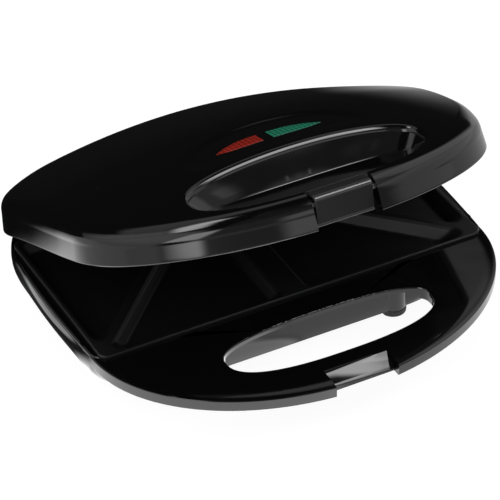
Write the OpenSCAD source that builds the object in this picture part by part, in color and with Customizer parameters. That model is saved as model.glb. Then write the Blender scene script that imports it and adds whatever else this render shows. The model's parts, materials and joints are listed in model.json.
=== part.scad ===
// Sandwich toaster: two hinged glossy shells round a pair of non-stick plates,
// each with four triangular pockets, closed by a swinging clip on the handle.
// Frame while drawing: x = 0 is the centre plane, y = 0 the front edge of the
// plates, z = 0 the top of the lower plate's rim. place_base() and place_lid()
// carry that frame to the part's own: floor at z = 0, lid standing open.

/* [Plan] */
// Half the width of both shells at the split
half_w = 118.5; // [118:0.5:122]
// Depth of the half-elliptical front bow
bow_d = 84.8; // [84:0.2:88]
// Where the bow meets the straight sides
bow_y = 8; // [7:0.5:9]
// Rear face of the lid
rear_y = 143; // [143:0.5:145]
// Radius of the rear corners
corner_r = 45; // [42:1:46]

/* [Base] */
// Depth of the lower shell below the plate's rim
base_h = 30; // [30:0.5:34]
// How far the front apron lies below the plate's rim
apron_drop = 2; // [2:0.25:2.5]
// Thickness of the front apron, which is the lower handle
apron_t = 7.5; // [6:0.25:9]
// How far the lower sides belly out
belly = 3; // [0:0.5:4]
// Height of the rubber feet
foot_h = 4; // [3:0.5:6]
// Wall of the mouldings
wall = 2.2; // [2:0.1:2.2]

/* [Lid] */
// Height of the lid's side band, up to the crease
band_h = 14.5; // [14.5:0.5:15.5]
// Height of the crown above the lid's rim
crown_h = 39; // [38.5:0.5:41]
// Angle at which the lid stands in this model
lid_rest = 24.2; // [20:0.1:35]
// Gap between the closed lid's rim and the apron
lid_gap = 0.3; // [0.3:0.1:0.5]

/* [Hand slots] */
// Half the width of the lower slot
grip_w = 62; // [56:1:66]
// Reach of the lower slot front to back
grip_d = 40; // [36:1:42]
// Half the width of the lid's slot
lid_grip_w = 70; // [66:1:72]
// Straight back edge of the lid's slot
lid_grip_back = -17; // [-18:0.5:-16]
// Front edge of the lid's slot at its middle
lid_grip_front = -67.5; // [-67.5:0.5:-66]

/* [Plates] */
// Half the width of a plate
plate_w = 115; // [114.5:0.1:115]
// Depth of a plate from its front edge
plate_d = 114; // [114:0.5:115]
// Length of a pocket's short sides
pocket_l = 103.5; // [100:0.5:104]
// Half the width of the wall between the two sandwiches
divider = 7.5; // [7:0.5:8]
// Depth of a pocket at its wall
pocket_wall = 8; // [6:0.5:8]
// Depth of a pocket at its middle
pocket_deep = 10; // [8:0.5:10]
// Thickness of a plate's rim
plate_t = 2.5; // [2.3:0.1:2.5]

/* [Latch] */
// Width of the clip
clip_w = 33; // [30:0.5:33.5]
// Width of the gap that the clip hangs in
notch_w = 37; // [36:0.5:38]
// Radius of the clip's pin
clip_pin_r = 1.4; // [1.2:0.1:1.4]

/* [Hinge] */
// Hinge axis behind the plate's front edge
axis_y = 135.7; // [135.5:0.1:136]
// Height of the hinge axis from the plate's rim
axis_z = -3; // [-3.2:0.1:-2.8]
// Half the distance between the hinge arms
arm_x = 58; // [50:1:60]
// Width of a hinge arm
arm_w = 12; // [10:0.5:14]
// Radius of the hinge pins
pin_r = 2; // [1.8:0.1:2.4]

/* [Lights] */
// Length of one light window
light_l = 29.2; // [26:0.2:30]
// Width of a light window at its wide end
light_d = 10; // [8:0.5:11]
// Depth of the shallow recess round the lights
recess = 1.6; // [0.8:0.1:2]

/* [Hidden] */

shell_black = [0.05, 0.05, 0.055];
plate_black = [0.1, 0.1, 0.1];
rubber = [0.12, 0.12, 0.12];
steel = [0.75, 0.76, 0.78];
sheet = [0.82, 0.82, 0.8];
ceramic = [0.92, 0.9, 0.86];

floor_z = -base_h - foot_h;          // the surface that the feet stand on
split_z = -apron_drop;               // top of the lower shell and its apron
lid_z = split_z + lid_gap;           // the closed lid's rim
base_rear = rear_y - 1.5;            // the lower shell stops short of the lid's swing
mid_y = 37.81;                       // middle of the open part's depth
seam = 0.25;                         // between the two closed plates
rim_z = seam - lid_z;                // the upper plate's rim above the lid's rim
seat_gap = 0.4;                      // round a plate in its shell
arm_gap = 0.4;                       // each side of a hinge arm
eye_r = 6;                           // of the hinge arms
run_gap = 0.06;                      // round a pin that turns
fit_gap = 0.02;                      // round a pin that is pressed in
pin_len = 24;                        // of each hinge pin
barrel_r = 10;                       // the lower shell's barrel round the hinge axis
trough_r = 10.5;                     // the lid's trough over that barrel
far = 400;                           // longer than the part, for cuts

// ---------------------------------------------------------------- placing

module place_base() translate([0, -mid_y, -floor_z]) children();

module about_hinge(a)
    translate([0, axis_y, axis_z]) rotate([-a, 0, 0]) translate([0, -axis_y, -axis_z]) children();

// Lid pieces are drawn with z = 0 at the lid's rim
module place_lid() place_base() about_hinge(lid_rest) translate([0, 0, lid_z]) children();

// What hangs below the lower plate hangs above the upper one
module above_plate() translate([0, 0, rim_z]) mirror([0, 0, 1]) children();

module both_sides() {
    children();
    mirror([1, 0, 0]) children();
}
module box(lo, hi) translate(lo) cube(hi - lo);
module along_x(r, l, c, n = 48)
    translate(c) rotate([0, 90, 0]) cylinder(r = r, h = l, center = true, $fn = n);
module along_y(r, l, c) translate(c) rotate([-90, 0, 0]) cylinder(r = r, h = l, $fn = 48);
module slab(z, t) translate([0, 0, z]) linear_extrude(t) children();
module rounded(lo, size, r) translate(lo) {
    translate([r, 0]) square([size[0] - 2 * r, size[1]]);
    translate([0, r]) square([size[0], size[1] - 2 * r]);
    for (x = [r, size[0] - r], y = [r, size[1] - r]) translate([x, y]) circle(r = r, $fn = 32);
}

// ---------------------------------------------------------------- lofts

// Skins a stack of rings of equal count; each end closes on a point, or on its own middle
function middle(r) = [for (p = r) 1] * r / len(r);
module loft(rings, tip = undef, foot = undef) {
    n = len(rings[0]);
    m = len(rings);
    points = concat([for (r = rings) each r], [is_undef(tip) ? middle(rings[m - 1]) : tip],
        [is_undef(foot) ? middle(rings[0]) : foot]);
    polyhedron(points, concat(
        [for (i = [0:n - 1]) [i, (i + 1) % n, m * n + 1]],
        [for (k = [0:m - 2], i = [0:n - 1]) let (j = (i + 1) % n, a = k * n, b = a + n)
            each [[a + i, b + i, b + j], [a + i, b + j, a + j]]],
        [for (i = [0:n - 1]) [(m - 1) * n + i, m * n, (m - 1) * n + (i + 1) % n]]), convexity = 6);
}
function at_z(o, z) = [for (p = o) [p[0], p[1], z]];
function shrink(o, s, c) = [for (p = o) [c[0] + s * (p[0] - c[0]), c[1] + s * (p[1] - c[1])]];

// ---------------------------------------------------------------- outlines

// Points of the shells' plan, counter-clockwise, each with its outward normal
function unit(v) = v / norm(v);
function bow(n) = [for (i = [0:n]) let (a = 180 * i / n - 90, m = unit([sin(a) / half_w, -cos(a) / bow_d]))
    [half_w * sin(a), bow_y - bow_d * cos(a), m[0], m[1]]];
function corner(s, a, w, back) = [s * (w - corner_r + corner_r * cos(a)),
    back - corner_r + corner_r * sin(a), s * cos(a), sin(a)];
function side(s, w, from, back, out, order) = [for (i = order) let (t = i / 5)
    [s * (w + out * sin(180 * t)), from + t * (back - corner_r - from), s, 0]];
function rear(w, from, back, out) = concat(
    side(1, w, from, back, out, [1:4]), [for (a = [0:15:90]) corner(1, a, w, back)],
    [for (t = [0.6:-0.3:-0.6]) [t * (w - corner_r), back, 0, 1]],
    [for (a = [90:-15:0]) corner(-1, a, w, back)], side(-1, w, from, back, out, [4:-1:1]));
function plan(n = 32) = concat(bow(n), rear(half_w, bow_y, rear_y, 0));
function inset(o, d) = [for (p = o) [p[0] - d * p[2], p[1] - d * p[3], p[2], p[3]]];
function flat(o) = [for (p = o) [p[0], p[1]]];

// The lower body stands behind the hand slot: its front wall is straight, and
// its front corners are cut back further towards the floor (tuck 0 to 1)
body_front = -1;
function body_plan(d, out, tuck, g = 0) = let (w = half_w - d - g, flat_w = 106 - 41 * tuck,
    deep = 12 + 15 * tuck, front = body_front + g) concat(
    [for (a = [80:-16:0]) [-flat_w - (w - flat_w) * sin(a), front + (deep - g) * (1 - cos(a))]],
    [for (a = [0:16:80]) [flat_w + (w - flat_w) * sin(a), front + (deep - g) * (1 - cos(a))]],
    flat(rear(w, body_front + deep, base_rear - d - g, out)));

// Halves of the hand slots are superellipses, squarer behind than in front
function arc_half(w, d, p, from, step) = [for (a = [from:step:from + 180 - step])
    [w * sign(cos(a)) * pow(abs(cos(a)), 2 / p), d * sign(sin(a)) * pow(abs(sin(a)), 2 / p)]];
function slot(w, y, back, fore, p_back, p_fore) = [for (q = concat(
    arc_half(w, back, p_back, 0, 10), arc_half(w, fore, p_fore, 180, 10))) [q[0], q[1] + y]];
grip_y = -35.3;
function base_slot() = slot(grip_w, grip_y + 4, grip_d / 2 - 4, grip_d / 2 + 4, 2.5, 2.5);
lid_grip_y = -28;
function lid_slot(g = 0) = slot(lid_grip_w + g, lid_grip_y, lid_grip_back - lid_grip_y + g,
    lid_grip_y - lid_grip_front + g, 5, 2);

module plate_plan(g = 0) rounded([-plate_w - g, -g], [2 * (plate_w + g), plate_d + 2 * g], 5 + g);

// ---------------------------------------------------------------- base shell

// Side of the lower body from the floor up: inset, height, belly, tuck
body_steps = [[10.5, -base_h, 0, 1], [6.5, -26.5, 0, 0.8], [3, -21, 0, 0.5], [0.4, -14, 0.6, 0.15],
              [-0.3, -8, 1, 0], [0, split_z, 0.5, 0]];
function body_ring(s, g = 0, z = undef) = at_z(body_plan(s[0], belly * s[2], s[3], g), is_undef(z) ? s[1] : z);
module body_shell() loft(concat([for (s = body_steps) body_ring(s)],
    [for (i = [5:-1:1]) body_ring(body_steps[i], wall)], [body_ring(body_steps[1], wall, wall - base_h)]));
module body_top(g, z, t) slab(z, t) polygon(body_plan(0, belly / 2, 0, g));

module barrel(r, x0, x1) translate([x0, axis_y, axis_z]) rotate([0, 90, 0]) cylinder(r = r, h = x1 - x0, $fn = 64);

module base_shell() color(shell_black) place_base() difference() {
    union() {
        body_shell();
        apron();
        plate_shelves();
        difference() {
            intersection() {
                union() {
                    barrel(barrel_r, -far, far);
                    box([-far, plate_d - 0.8, split_z - wall], [far, axis_y, split_z]);
                }
                slab(-base_h, base_h + 20) polygon(body_plan(0.3, 0, 0));
            }
            intersection() {
                union() {
                    barrel(barrel_r - wall, 14 - arm_x, arm_x - 14);
                    both_sides() barrel(barrel_r - wall, arm_x + 14, far);
                }
                slab(-base_h, base_h + 20) polygon(body_plan(0.3, 0, 0, wall + 0.5));
            }
        }
    }
    slab(-plate_t - 0.1, 10) intersection() {
        plate_plan(seat_gap);
        translate([-far, -far]) square([2 * far, far + plate_d + seat_gap]);
    }
    slab(split_z - apron_t - 1, apron_t + 2) polygon(base_slot());
    clip_seat();
    both_sides() {
        box([arm_x - arm_w / 2 - arm_gap, axis_y - eye_r - 1, axis_z - eye_r - 1.5],
            [arm_x + arm_w / 2 + arm_gap, rear_y + 10, 30]);
        along_x(pin_r + fit_gap, pin_len, [arm_x, axis_y, axis_z]);
    }
    slab(-base_h - 1, wall + 2) cover_plan(-3);
    slab(-base_h - 1, cover_t + 1) cover_plan(seat_gap);
    along_y(gland_r, 30, [gland_x, base_rear - 20, gland_z]);
}

// Flat front apron that stands out round the hand slot and is the lower handle
module apron() slab(split_z - apron_t, apron_t) difference() {
    polygon(flat(plan()));
    translate([-far, 24]) square([2 * far, far]);
    translate([-half_w + 5, body_front + wall]) square([2 * half_w - 10, far]);
}

// Ledges inside the side walls that carry the edges of the lower plate
module plate_shelves() both_sides() box([plate_w - 1.6, 16, split_z - 5], [half_w - 1, 104, split_z]);

// Ramped seat in the front of the apron, where the clip swings down
module clip_seat() rotate([90, 0, 90]) linear_extrude(notch_w, center = true)
    polygon([[-61, 1], [-61, split_z], [-69, split_z - 0.9], [-73, split_z - 2], [-74.6, split_z - 3.2],
             [-74.6, split_z - apron_t - 1], [-90, split_z - apron_t - 1], [-90, 1]]);

cover_t = 1.4;
module cover_plan(g) rounded([-94 - g, 18 - g], [188 + 2 * g, 90 + 2 * g], 10 + g);

module bottom_cover() color(rubber) place_base() difference() {
    slab(-base_h, cover_t) cover_plan(0);
    for (p = studs) slab(-base_h - 1, 5) translate(p) circle(r = 1.8, $fn = 32);
    for (x = [-60:8:57]) slab(-base_h - 1, 5) rounded([x, 52], [3, 22], 1.4);
}

foot_r = 7.5;
module foot(x, y) translate([x, y, floor_z]) rotate_extrude($fn = 48)
    polygon([[0, 0], [foot_r - 1, 0], [foot_r, 1], [foot_r - 0.4, foot_h], [0, foot_h]]);
module front_feet() color(rubber) place_base() both_sides() foot(60, 8);
module rear_feet() color(rubber) place_base() both_sides() foot(60, 121);

module screw(head_r, head_h, r, l) {
    cylinder(r = head_r, h = head_h, $fn = 32);
    translate([0, 0, head_h]) cylinder(r = r, h = l, $fn = 32);
}
module base_screws() color(steel) place_base() for (p = studs)
    translate([p[0], p[1], -base_h - 1.6]) screw(3.2, 1.6, 1.5, 11);

// ---------------------------------------------------------------- plates

// A pocket is a right triangle with rounded corners, stretched about its incentre
// so that every side moves by the same amount
tri_in = pocket_l * (1 - sqrt(0.5));
function arc_at(c, r, from, to, step) = [for (a = [from:step:to]) [c[0] + r * cos(a), c[1] + r * sin(a)]];
function tri(l, r) = let (q = l - r * (1 + sqrt(2))) concat(arc_at([r, r], r, 180, 270, 22.5),
    arc_at([q, r], r, 270, 405, 33.75), arc_at([r, q], r, 45, 180, 33.75));
function tri_ring(g, z) = at_z(shrink(tri(pocket_l, 5), 1 + g / tri_in, [tri_in, tri_in]), z);
draft = 4;
module pocket(g, top) loft([tri_ring(g - draft, -pocket_wall - g), tri_ring(g + draft * top / pocket_wall, top)],
    foot = [tri_in, tri_in, -pocket_deep - g]);

pocket_edge = 2.5;
module pockets(g, top) both_sides() {
    translate([divider, pocket_edge, 0]) pocket(g, top);
    translate([plate_w - 3, plate_d - 2, 0]) rotate([0, 0, 180]) pocket(g, top);
}

cast_g = 2;
studs = [[87, 30], [30, 87], [-87, 30], [-30, 87]];
element_r = 3.25;
element_z = -15;
strap_t = 1.2;
strap_z = element_z - element_r - strap_t;

// Plate seen as the lower one: rim, cast pockets and studs with shoulders
module plate(stud_end) difference() {
    union() {
        slab(-plate_t, plate_t) plate_plan();
        pockets(cast_g, -1);
        for (p = studs) translate([p[0], p[1], 0]) {
            translate([0, 0, strap_z + strap_t]) cylinder(r = 5, h = -strap_z - strap_t - 2, $fn = 32);
            translate([0, 0, stud_end]) cylinder(r = 4, h = -stud_end - 2, $fn = 32);
        }
        both_sides() for (p = [[38, 24], [62, 58]]) translate([p[0], p[1], element_z + element_r])
            cylinder(r = 3, h = 5, $fn = 24);
    }
    pockets(0, 1);
    for (p = studs) translate([p[0], p[1], stud_end - 1]) cylinder(r = 1.55, h = 12, $fn = 32);
}

module lower_plate() color(plate_black) place_base() plate(cover_t - base_h);

// ---------------------------------------------------------------- heating

loop_x = 62;
loop_front = 24;
loop_rear = 74;
loop_r = 14;
lead_x = 14;
element_end = 97;

module bend(c, from) translate([c[0], c[1], element_z]) rotate([0, 0, from])
    rotate_extrude(angle = 90, $fn = 64) translate([loop_r, 0]) circle(r = element_r, $fn = 32);
module element() {
    along_x(element_r, 2 * (loop_x - loop_r), [0, loop_front, element_z]);
    both_sides() {
        bend([loop_x - loop_r, loop_front + loop_r], -90);
        along_y(element_r, loop_rear - loop_front - 2 * loop_r, [loop_x, loop_front + loop_r, element_z]);
        bend([loop_x - loop_r, loop_rear - loop_r], 0);
        along_x(element_r, loop_x - 2 * loop_r - lead_x, [(loop_x + lead_x) / 2, loop_rear, element_z]);
        bend([lead_x + loop_r, loop_rear + loop_r], 180);
        along_y(element_r, element_end - loop_rear - loop_r, [lead_x, loop_rear + loop_r, element_z]);
    }
}

module strap_holes(z, r = 4.05) for (p = studs) translate([p[0], p[1], z - 1]) cylinder(r = r, h = 4, $fn = 32);

reflector_t = 0.6;
module reflector() difference() {
    union() {
        slab(strap_z - reflector_t, reflector_t) rounded([-93, 18], [186, 76], 3);
        both_sides() box([92.4, 38, strap_z - reflector_t], [93, 91, element_z]);
        box([-90, 18, strap_z - reflector_t], [90, 18.6, element_z]);
    }
    strap_holes(strap_z - reflector_t);
}

module lower_element() color([0.35, 0.33, 0.32]) place_base() element();
module lower_reflector() color(sheet) place_base() reflector();
module lower_element_clamp() color(steel) place_base() difference() {
    slab(strap_z, strap_t) rounded([-93, 24], [186, 12], 3);
    strap_holes(strap_z);
}

module thermal_fuse() color(steel) place_base() {
    along_y(2.1, 14, [0, 50, -plate_t - 2.9]);
    box([-5.5, 55, -plate_t - 0.8], [5.5, 59, -plate_t]);
    box([-2.9, 55, -plate_t - 3], [-2, 59, -plate_t]);
    box([2, 55, -plate_t - 3], [2.9, 59, -plate_t]);
}

block_front = 112;
block_z = wall - base_h;
module terminal_block() color(ceramic) place_base() difference() {
    box([-18, block_front, block_z], [18, block_front + 12, block_z + 9]);
    for (x = [-12, 0, 12]) along_y(1.9, 6, [x, block_front - 1, block_z + 4.5]);
    for (x = [-6, 6]) box([x - 0.6, block_front - 1, block_z + 3], [x + 0.6, block_front + 13, block_z + 10]);
}

module rod(p, q, r) translate(p) rotate([0, acos((q[2] - p[2]) / norm(q - p)), atan2(q[1] - p[1], q[0] - p[0])])
    cylinder(r = r, h = norm(q - p), $fn = 24);
module lead(points, r = 1.2) for (i = [0:len(points) - 2]) {
    rod(points[i], points[i + 1], r);
    if (i > 0) translate(points[i]) sphere(r = r + 0.2, $fn = 24);
}
gland_x = 30;
gland_z = -20.5;
gland_r = 5.5;
module base_wiring() color([0.9, 0.9, 0.88]) place_base() {
    both_sides() lead([[lead_x, element_end, element_z], [lead_x, 102, element_z],
        [12, 108, block_z + 4.5], [12, block_front + 4, block_z + 4.5]]);
    lead([[0, 64, -plate_t - 2.9], [0, 67, -plate_t - 2.9], [0, 84, -8], [0, 104, -16], [0, 109, block_z + 4.5], [0, block_front + 4, block_z + 4.5]]);
}

module cord_gland() color(rubber) place_base() difference() {
    union() {
        along_y(gland_r - 0.05, 12, [gland_x, base_rear - 12, gland_z]);
        along_y(gland_r + 1.5, 2, [gland_x, base_rear - 12, gland_z]);
    }
    along_y(3.5, 30, [gland_x, base_rear - 20, gland_z]);
}

// ---------------------------------------------------------------- hinge pins

module hinge_pin(s) color(steel) place_base() along_x(pin_r, pin_len, [s * arm_x, axis_y, axis_z]);
module hinge_pin_left() hinge_pin(-1);
module hinge_pin_right() hinge_pin(1);

// ---------------------------------------------------------------- lid frame

frame_wall = 2.6;
// The band leans in a little at the sides and more at the front
function lean(p) = 1.2 + 2.2 * pow(max(0, -p[3]), 2);
function leaned(o, t, g = 0) = [for (p = o) let (d = g + t * lean(p))
    [p[0] - d * p[2], p[1] - d * p[3], p[2], p[3]]];
function band_ring(t, g, z) = at_z(leaned(plan(), t, g), z);
module band_solid(g = 0) loft([band_ring(0, g, 0), band_ring(1, g, band_h)]);
module tray() loft([band_ring(0, 0, 0), band_ring(1, 0, band_h), band_ring(1, frame_wall, band_h),
    band_ring(0, frame_wall, frame_wall)]);

ledge_z = rim_z + plate_t;
lid_axis_z = axis_z - lid_z;
lid_posts = [[92, -28], [100, 119.9], [-92, -28], [-100, 119.9]];
clip_pin_y = -69.2;
clip_pin_z = 12;
web_h = 7;

module lid_frame() color(shell_black) place_lid() difference() {
    union() {
        difference() {
            union() {
                tray();
                intersection() {
                    union() {
                        slab(0, ledge_z + 2) difference() { plate_plan(2.8); plate_plan(seat_gap); }
                        slab(ledge_z, 2) difference() { plate_plan(2.8); plate_plan(-1.2); }
                        slab(0, band_h) polygon(lid_slot(wall));
                        translate([0, 0, lid_axis_z - axis_z]) barrel(trough_r + 2.2, -far, far);
                        both_sides() box([notch_w / 2, -80, 0], [notch_w / 2 + 4, -60, band_h]);
                    }
                    band_solid(0.05);
                }
            }
            slab(-1, band_h + 2) polygon(lid_slot());
            translate([0, 0, lid_axis_z - axis_z]) barrel(trough_r, -far, far);
        }
        box([-25, -68, 0], [25, -64.8, web_h]);
        both_sides() hinge_arm();
    }
    slab(-1, ledge_z + 1) plate_plan(seat_gap);
    slab(-1, band_h) plate_plan(-1.2);
    lid_notch();
    along_x(clip_pin_r + fit_gap, notch_w + 6, [0, clip_pin_y, clip_pin_z]);
    along_x(pin_r + run_gap, far, [0, axis_y, lid_axis_z]);
    for (p = lid_posts) translate([p[0], p[1], -1]) {
        cylinder(r = 1.7, h = 6, $fn = 32);
        cylinder(r = 3.1, h = 2.4, $fn = 32);
    }
}

module hinge_arm() {
    along_x(eye_r, arm_w, [arm_x, axis_y, lid_axis_z]);
    box([arm_x - arm_w / 2, axis_y - 5, lid_axis_z], [arm_x + arm_w / 2, axis_y + 5, lid_axis_z + trough_r + 0.8]);
}

// Gap for the clip: right through in front of the web, and over the web's top
module lid_notch() {
    box([-notch_w / 2, -90, -1], [notch_w / 2, -68, 40]);
    box([-notch_w / 2, -90, web_h], [notch_w / 2, -60, 40]);
}

// ---------------------------------------------------------------- lid cover

// Crown: height above the rim, falling to the front, the rear and both sides
crown_y = 43;
function rear_fall(t) = 7.2 * (pow(t * t + 0.0625, 0.6) - pow(0.0625, 0.6));
function crown(x, y) = crown_h - 16.7 * pow(abs(x) / half_w, 1.97)
    - (y < crown_y ? 30 * pow((crown_y - y) / 140, 1.8) : rear_fall((y - crown_y) / 70));
function on_crown(o, drop) = [for (p = o) [p[0], p[1], crown(p[0], p[1]) - drop]];

// From the crease the skin turns over a rounded shoulder on to the crown
shoulder = 4;
dome_c = [0, 36];
function shoulder_ring(a, g) = let (o = plan(), w = leaned(o, 1, g + shoulder * (1 - cos(a))), e = leaned(o, 1, g + shoulder))
    [for (i = [0:len(o) - 1]) [w[i][0], w[i][1], band_h + (crown(e[i][0], e[i][1]) - g - band_h) * sin(a)]];
function crown_ring(s, g) = on_crown(shrink(leaned(plan(), 1, g + shoulder), s, dome_c), g);
skin = 2.4;
module dome() loft(concat(
    [for (s = [0.3, 0.6, 0.85]) crown_ring(s, skin)], [for (a = [90, 45, 0]) shoulder_ring(a, skin)],
    [for (a = [0, 22.5, 45, 67.5, 90]) shoulder_ring(a, 0)], [for (s = [0.88, 0.7, 0.48, 0.24]) crown_ring(s, 0)]),
    tip = [dome_c[0], dome_c[1], crown(dome_c[0], dome_c[1])],
    foot = [dome_c[0], dome_c[1], crown(dome_c[0], dome_c[1]) - skin]);

// Shallow elliptical recess that the light windows sit in
recess_w = 52;
recess_d = 28;
function recess_plan(s, g = 0) = [for (a = [0:15:345]) [s * (recess_w + g) * cos(a), s * (recess_d + g) * sin(a)]];
module recess_cut() loft(concat([for (s = [0.35, 0.7, 1]) on_crown(recess_plan(s), recess)],
    [at_z(recess_plan(1), 60)]), foot = [0, 0, crown(0, 0) - recess]);
module recess_floor() intersection() {
    loft(concat([for (s = [0.5, 1]) on_crown(recess_plan(s, 2), recess + skin)],
        [for (s = [1, 0.5]) on_crown(recess_plan(s, 2), recess / 2)]),
        tip = [0, 0, crown(0, 0) - recess / 2], foot = [0, 0, crown(0, 0) - recess - skin]);
    box([-far, lid_grip_back, 0], [far, far, far]);
}

module slot_collar() loft([at_z(lid_slot(wall), band_h), on_crown(lid_slot(wall), skin / 2)],
    tip = [0, -36, crown(0, -36) - skin / 2]);

module lid_cover() color(shell_black) place_lid() difference() {
    union() {
        dome();
        recess_floor();
        slot_collar();
        for (p = lid_posts) translate([p[0], p[1], frame_wall])
            cylinder(r = 2.9, h = crown(p[0], p[1]) - 1.6 - frame_wall, $fn = 32);
        for (x = [-36, 36]) translate([x + light_x, 6, holder_z])
            cylinder(r = 3, h = crown(x, 6) - 2 - holder_z, $fn = 32);
        both_sides() box([notch_w / 2, -70.6, band_h], [notch_w / 2 + 3, -66, band_h + 2]);
    }
    recess_cut();
    slab(-1, 60) polygon(lid_slot());
    lid_notch();
    for (s = [-1, 1]) slab(0, 60) polygon(window(s, 0.1));
    for (p = lid_posts) translate([p[0], p[1], 1]) cylinder(r = 1.3, h = 12, $fn = 32);
}

// ---------------------------------------------------------------- lights

light_x = -1;
light_y = 0.5;
light_gap = 1.8;
// A light window is a leaf: blunt at the middle of the lid, pointed outwards
function leaf_top(u) = light_d * (1 - 0.7 * pow(u, 2.6));
function leaf_low(u) = light_d * 0.3 * pow(u, 3);
leaf_u = [0, 0.03, 0.2, 0.4, 0.6, 0.8, 0.93];
function leaf(g) = concat([for (u = leaf_u) [u * light_l, leaf_low(u) - g + (u == 0 ? 0.8 : 0)]],
    [[light_l + g, light_d * 0.3]],
    [for (i = [len(leaf_u) - 1:-1:0]) let (u = leaf_u[i]) [u * light_l, leaf_top(u) + g - (u == 0 ? 0.8 : 0)]]);
function window(s, g) = let (o = [for (p = leaf(g))
    [light_x + s * (light_gap + max(p[0], -g)) - (p[0] == 0 ? s * g : 0), light_y + p[1]]])
    s > 0 ? o : [for (i = [len(o) - 1:-1:0]) o[i]];
module lens(s) let (o = window(s, 0), c = [light_x + s * (light_gap + light_l * 0.4), light_y + light_d / 2])
    loft([on_crown(o, recess + skin + 0.6), on_crown(o, recess - 0.5)],
        tip = [c[0], c[1], crown(c[0], c[1]) - recess + 0.7],
        foot = [c[0], c[1], crown(c[0], c[1]) - recess - skin - 0.6]);

holder_z = 27;
lamp_r = 2;
module red_lens() color([0.8, 0.1, 0.05]) place_lid() lens(-1);
module green_lens() color([0.1, 0.65, 0.2]) place_lid() lens(1);
module lamp(s) along_x(lamp_r, 12, [light_x + s * 14, 6, holder_z + lamp_r - 0.3]);
module red_lamp() color([1, 0.5, 0.3]) place_lid() lamp(-1);
module green_lamp() color([0.6, 1, 0.6]) place_lid() lamp(1);
module lamp_holder() color(ceramic) place_lid() difference() {
    slab(holder_z - 1.6, 1.6) rounded([light_x - 40, 1.5], [80, 9], 3);
    for (s = [-1, 1]) along_x(lamp_r, 12, [light_x + s * 14, 6, holder_z + lamp_r - 0.3]);
}

// ---------------------------------------------------------------- upper plate

upper_stud_end = strap_z - reflector_t;
module upper_plate() color(plate_black) place_lid() above_plate() plate(upper_stud_end);
module upper_element() color([0.35, 0.33, 0.32]) place_lid() above_plate() element();
module upper_reflector() color(sheet) place_lid() above_plate() reflector();
module upper_plate_screws() color(steel) place_lid() above_plate() for (p = studs)
    translate([p[0], p[1], upper_stud_end - 1.6]) screw(4.6, 1.6, 1.5, 9);

// Bent strap: its feet stand on the lid's ledge, so that its screws draw the plate up
foot_x = plate_w - 0.2;
foot_z = rim_z - ledge_z - 2;
module upper_element_clamp() color(steel) place_lid() above_plate() difference() {
    translate([0, 36, 0]) rotate([90, 0, 0]) linear_extrude(12) polygon(concat(
        [[-foot_x, foot_z], [-foot_x, foot_z - 4], [-98, strap_z], [98, strap_z], [foot_x, foot_z - 4],
         [foot_x, foot_z]],
        [[foot_x - 1.6, foot_z], [foot_x - 1.6, foot_z - 3.4], [97.5, strap_z + strap_t],
         [-97.5, strap_z + strap_t], [1.6 - foot_x, foot_z - 3.4], [1.6 - foot_x, foot_z]]));
    strap_holes(strap_z);
}

module thermostat() color(ceramic) place_lid() above_plate() translate([0, 57, 0]) {
    translate([0, 0, -plate_t - 6]) cylinder(r = 6.4, h = 6, $fn = 48);
    translate([0, 0, -plate_t - 9]) cylinder(r = 5, h = 4, $fn = 48);
    both_sides() box([2, -3, -plate_t - 14], [2.8, 3, -plate_t - 6]);
}

module lid_screws() color(steel) place_lid() for (p = lid_posts)
    translate([p[0], p[1], 0.1]) screw(2.9, 1.3, 1.25, 8);

// ---------------------------------------------------------------- latch

module latch_pin() color(steel) place_lid() along_x(clip_pin_r, notch_w + 5, [0, clip_pin_y, clip_pin_z]);

// Clip: a bent plate that caps the bar and hangs down in front of it
clip_t = 2;
module latch_clip() color(shell_black) place_lid() difference() {
    union() {
        rotate([90, 0, 90]) linear_extrude(clip_w, center = true) polygon([
            [-63.8, 17], [-64.2, 18.4], [-65, 18.7], [-70.4, 18], [-72.4, 17.2], [-73.5, 16], [-73.8, 14.6],
            [-70.9, 1.6], [-69, 1.6], [-71.8, 14.2], [-71.3, 15.3], [-70.2, 16], [-65, 16.7]]);
        along_x(1.1, clip_w, [0, -70, 1.6], 24);
        both_sides() along_x(3.7, 3, [clip_w / 2 - 1.5, clip_pin_y, clip_pin_z], 40);
    }
    along_x(clip_pin_r + run_gap, clip_w + 2, [0, clip_pin_y, clip_pin_z]);
}

base_shell();
bottom_cover();
lower_plate();
lower_element();
lower_reflector();
lower_element_clamp();
thermal_fuse();
terminal_block();
base_wiring();
cord_gland();
front_feet();
rear_feet();
base_screws();
hinge_pin_left();
hinge_pin_right();
lid_frame();
lid_cover();
upper_plate();
upper_element();
upper_reflector();
upper_element_clamp();
upper_plate_screws();
thermostat();
red_lens();
green_lens();
red_lamp();
green_lamp();
lamp_holder();
lid_screws();
latch_pin();
latch_clip();
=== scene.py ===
"""Dressed model of the sandwich toaster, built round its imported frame.

Every shape is drawn in millimetres in the drawing frame of its sub-assembly: x = 0 is the centre
plane, y = 0 the front edge of the plates, z = 0 the lower plate's rim for the base and the lid's
rim for the lid. A Placement carries it to the part's own frame, in metres.
"""
import json
import logging
import math
from dataclasses import dataclass
from enum import Enum
from functools import cached_property
from typing import Any, Callable, Iterable, Sequence

import bpy
import numpy as np
from mathutils import Matrix, Vector


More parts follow.
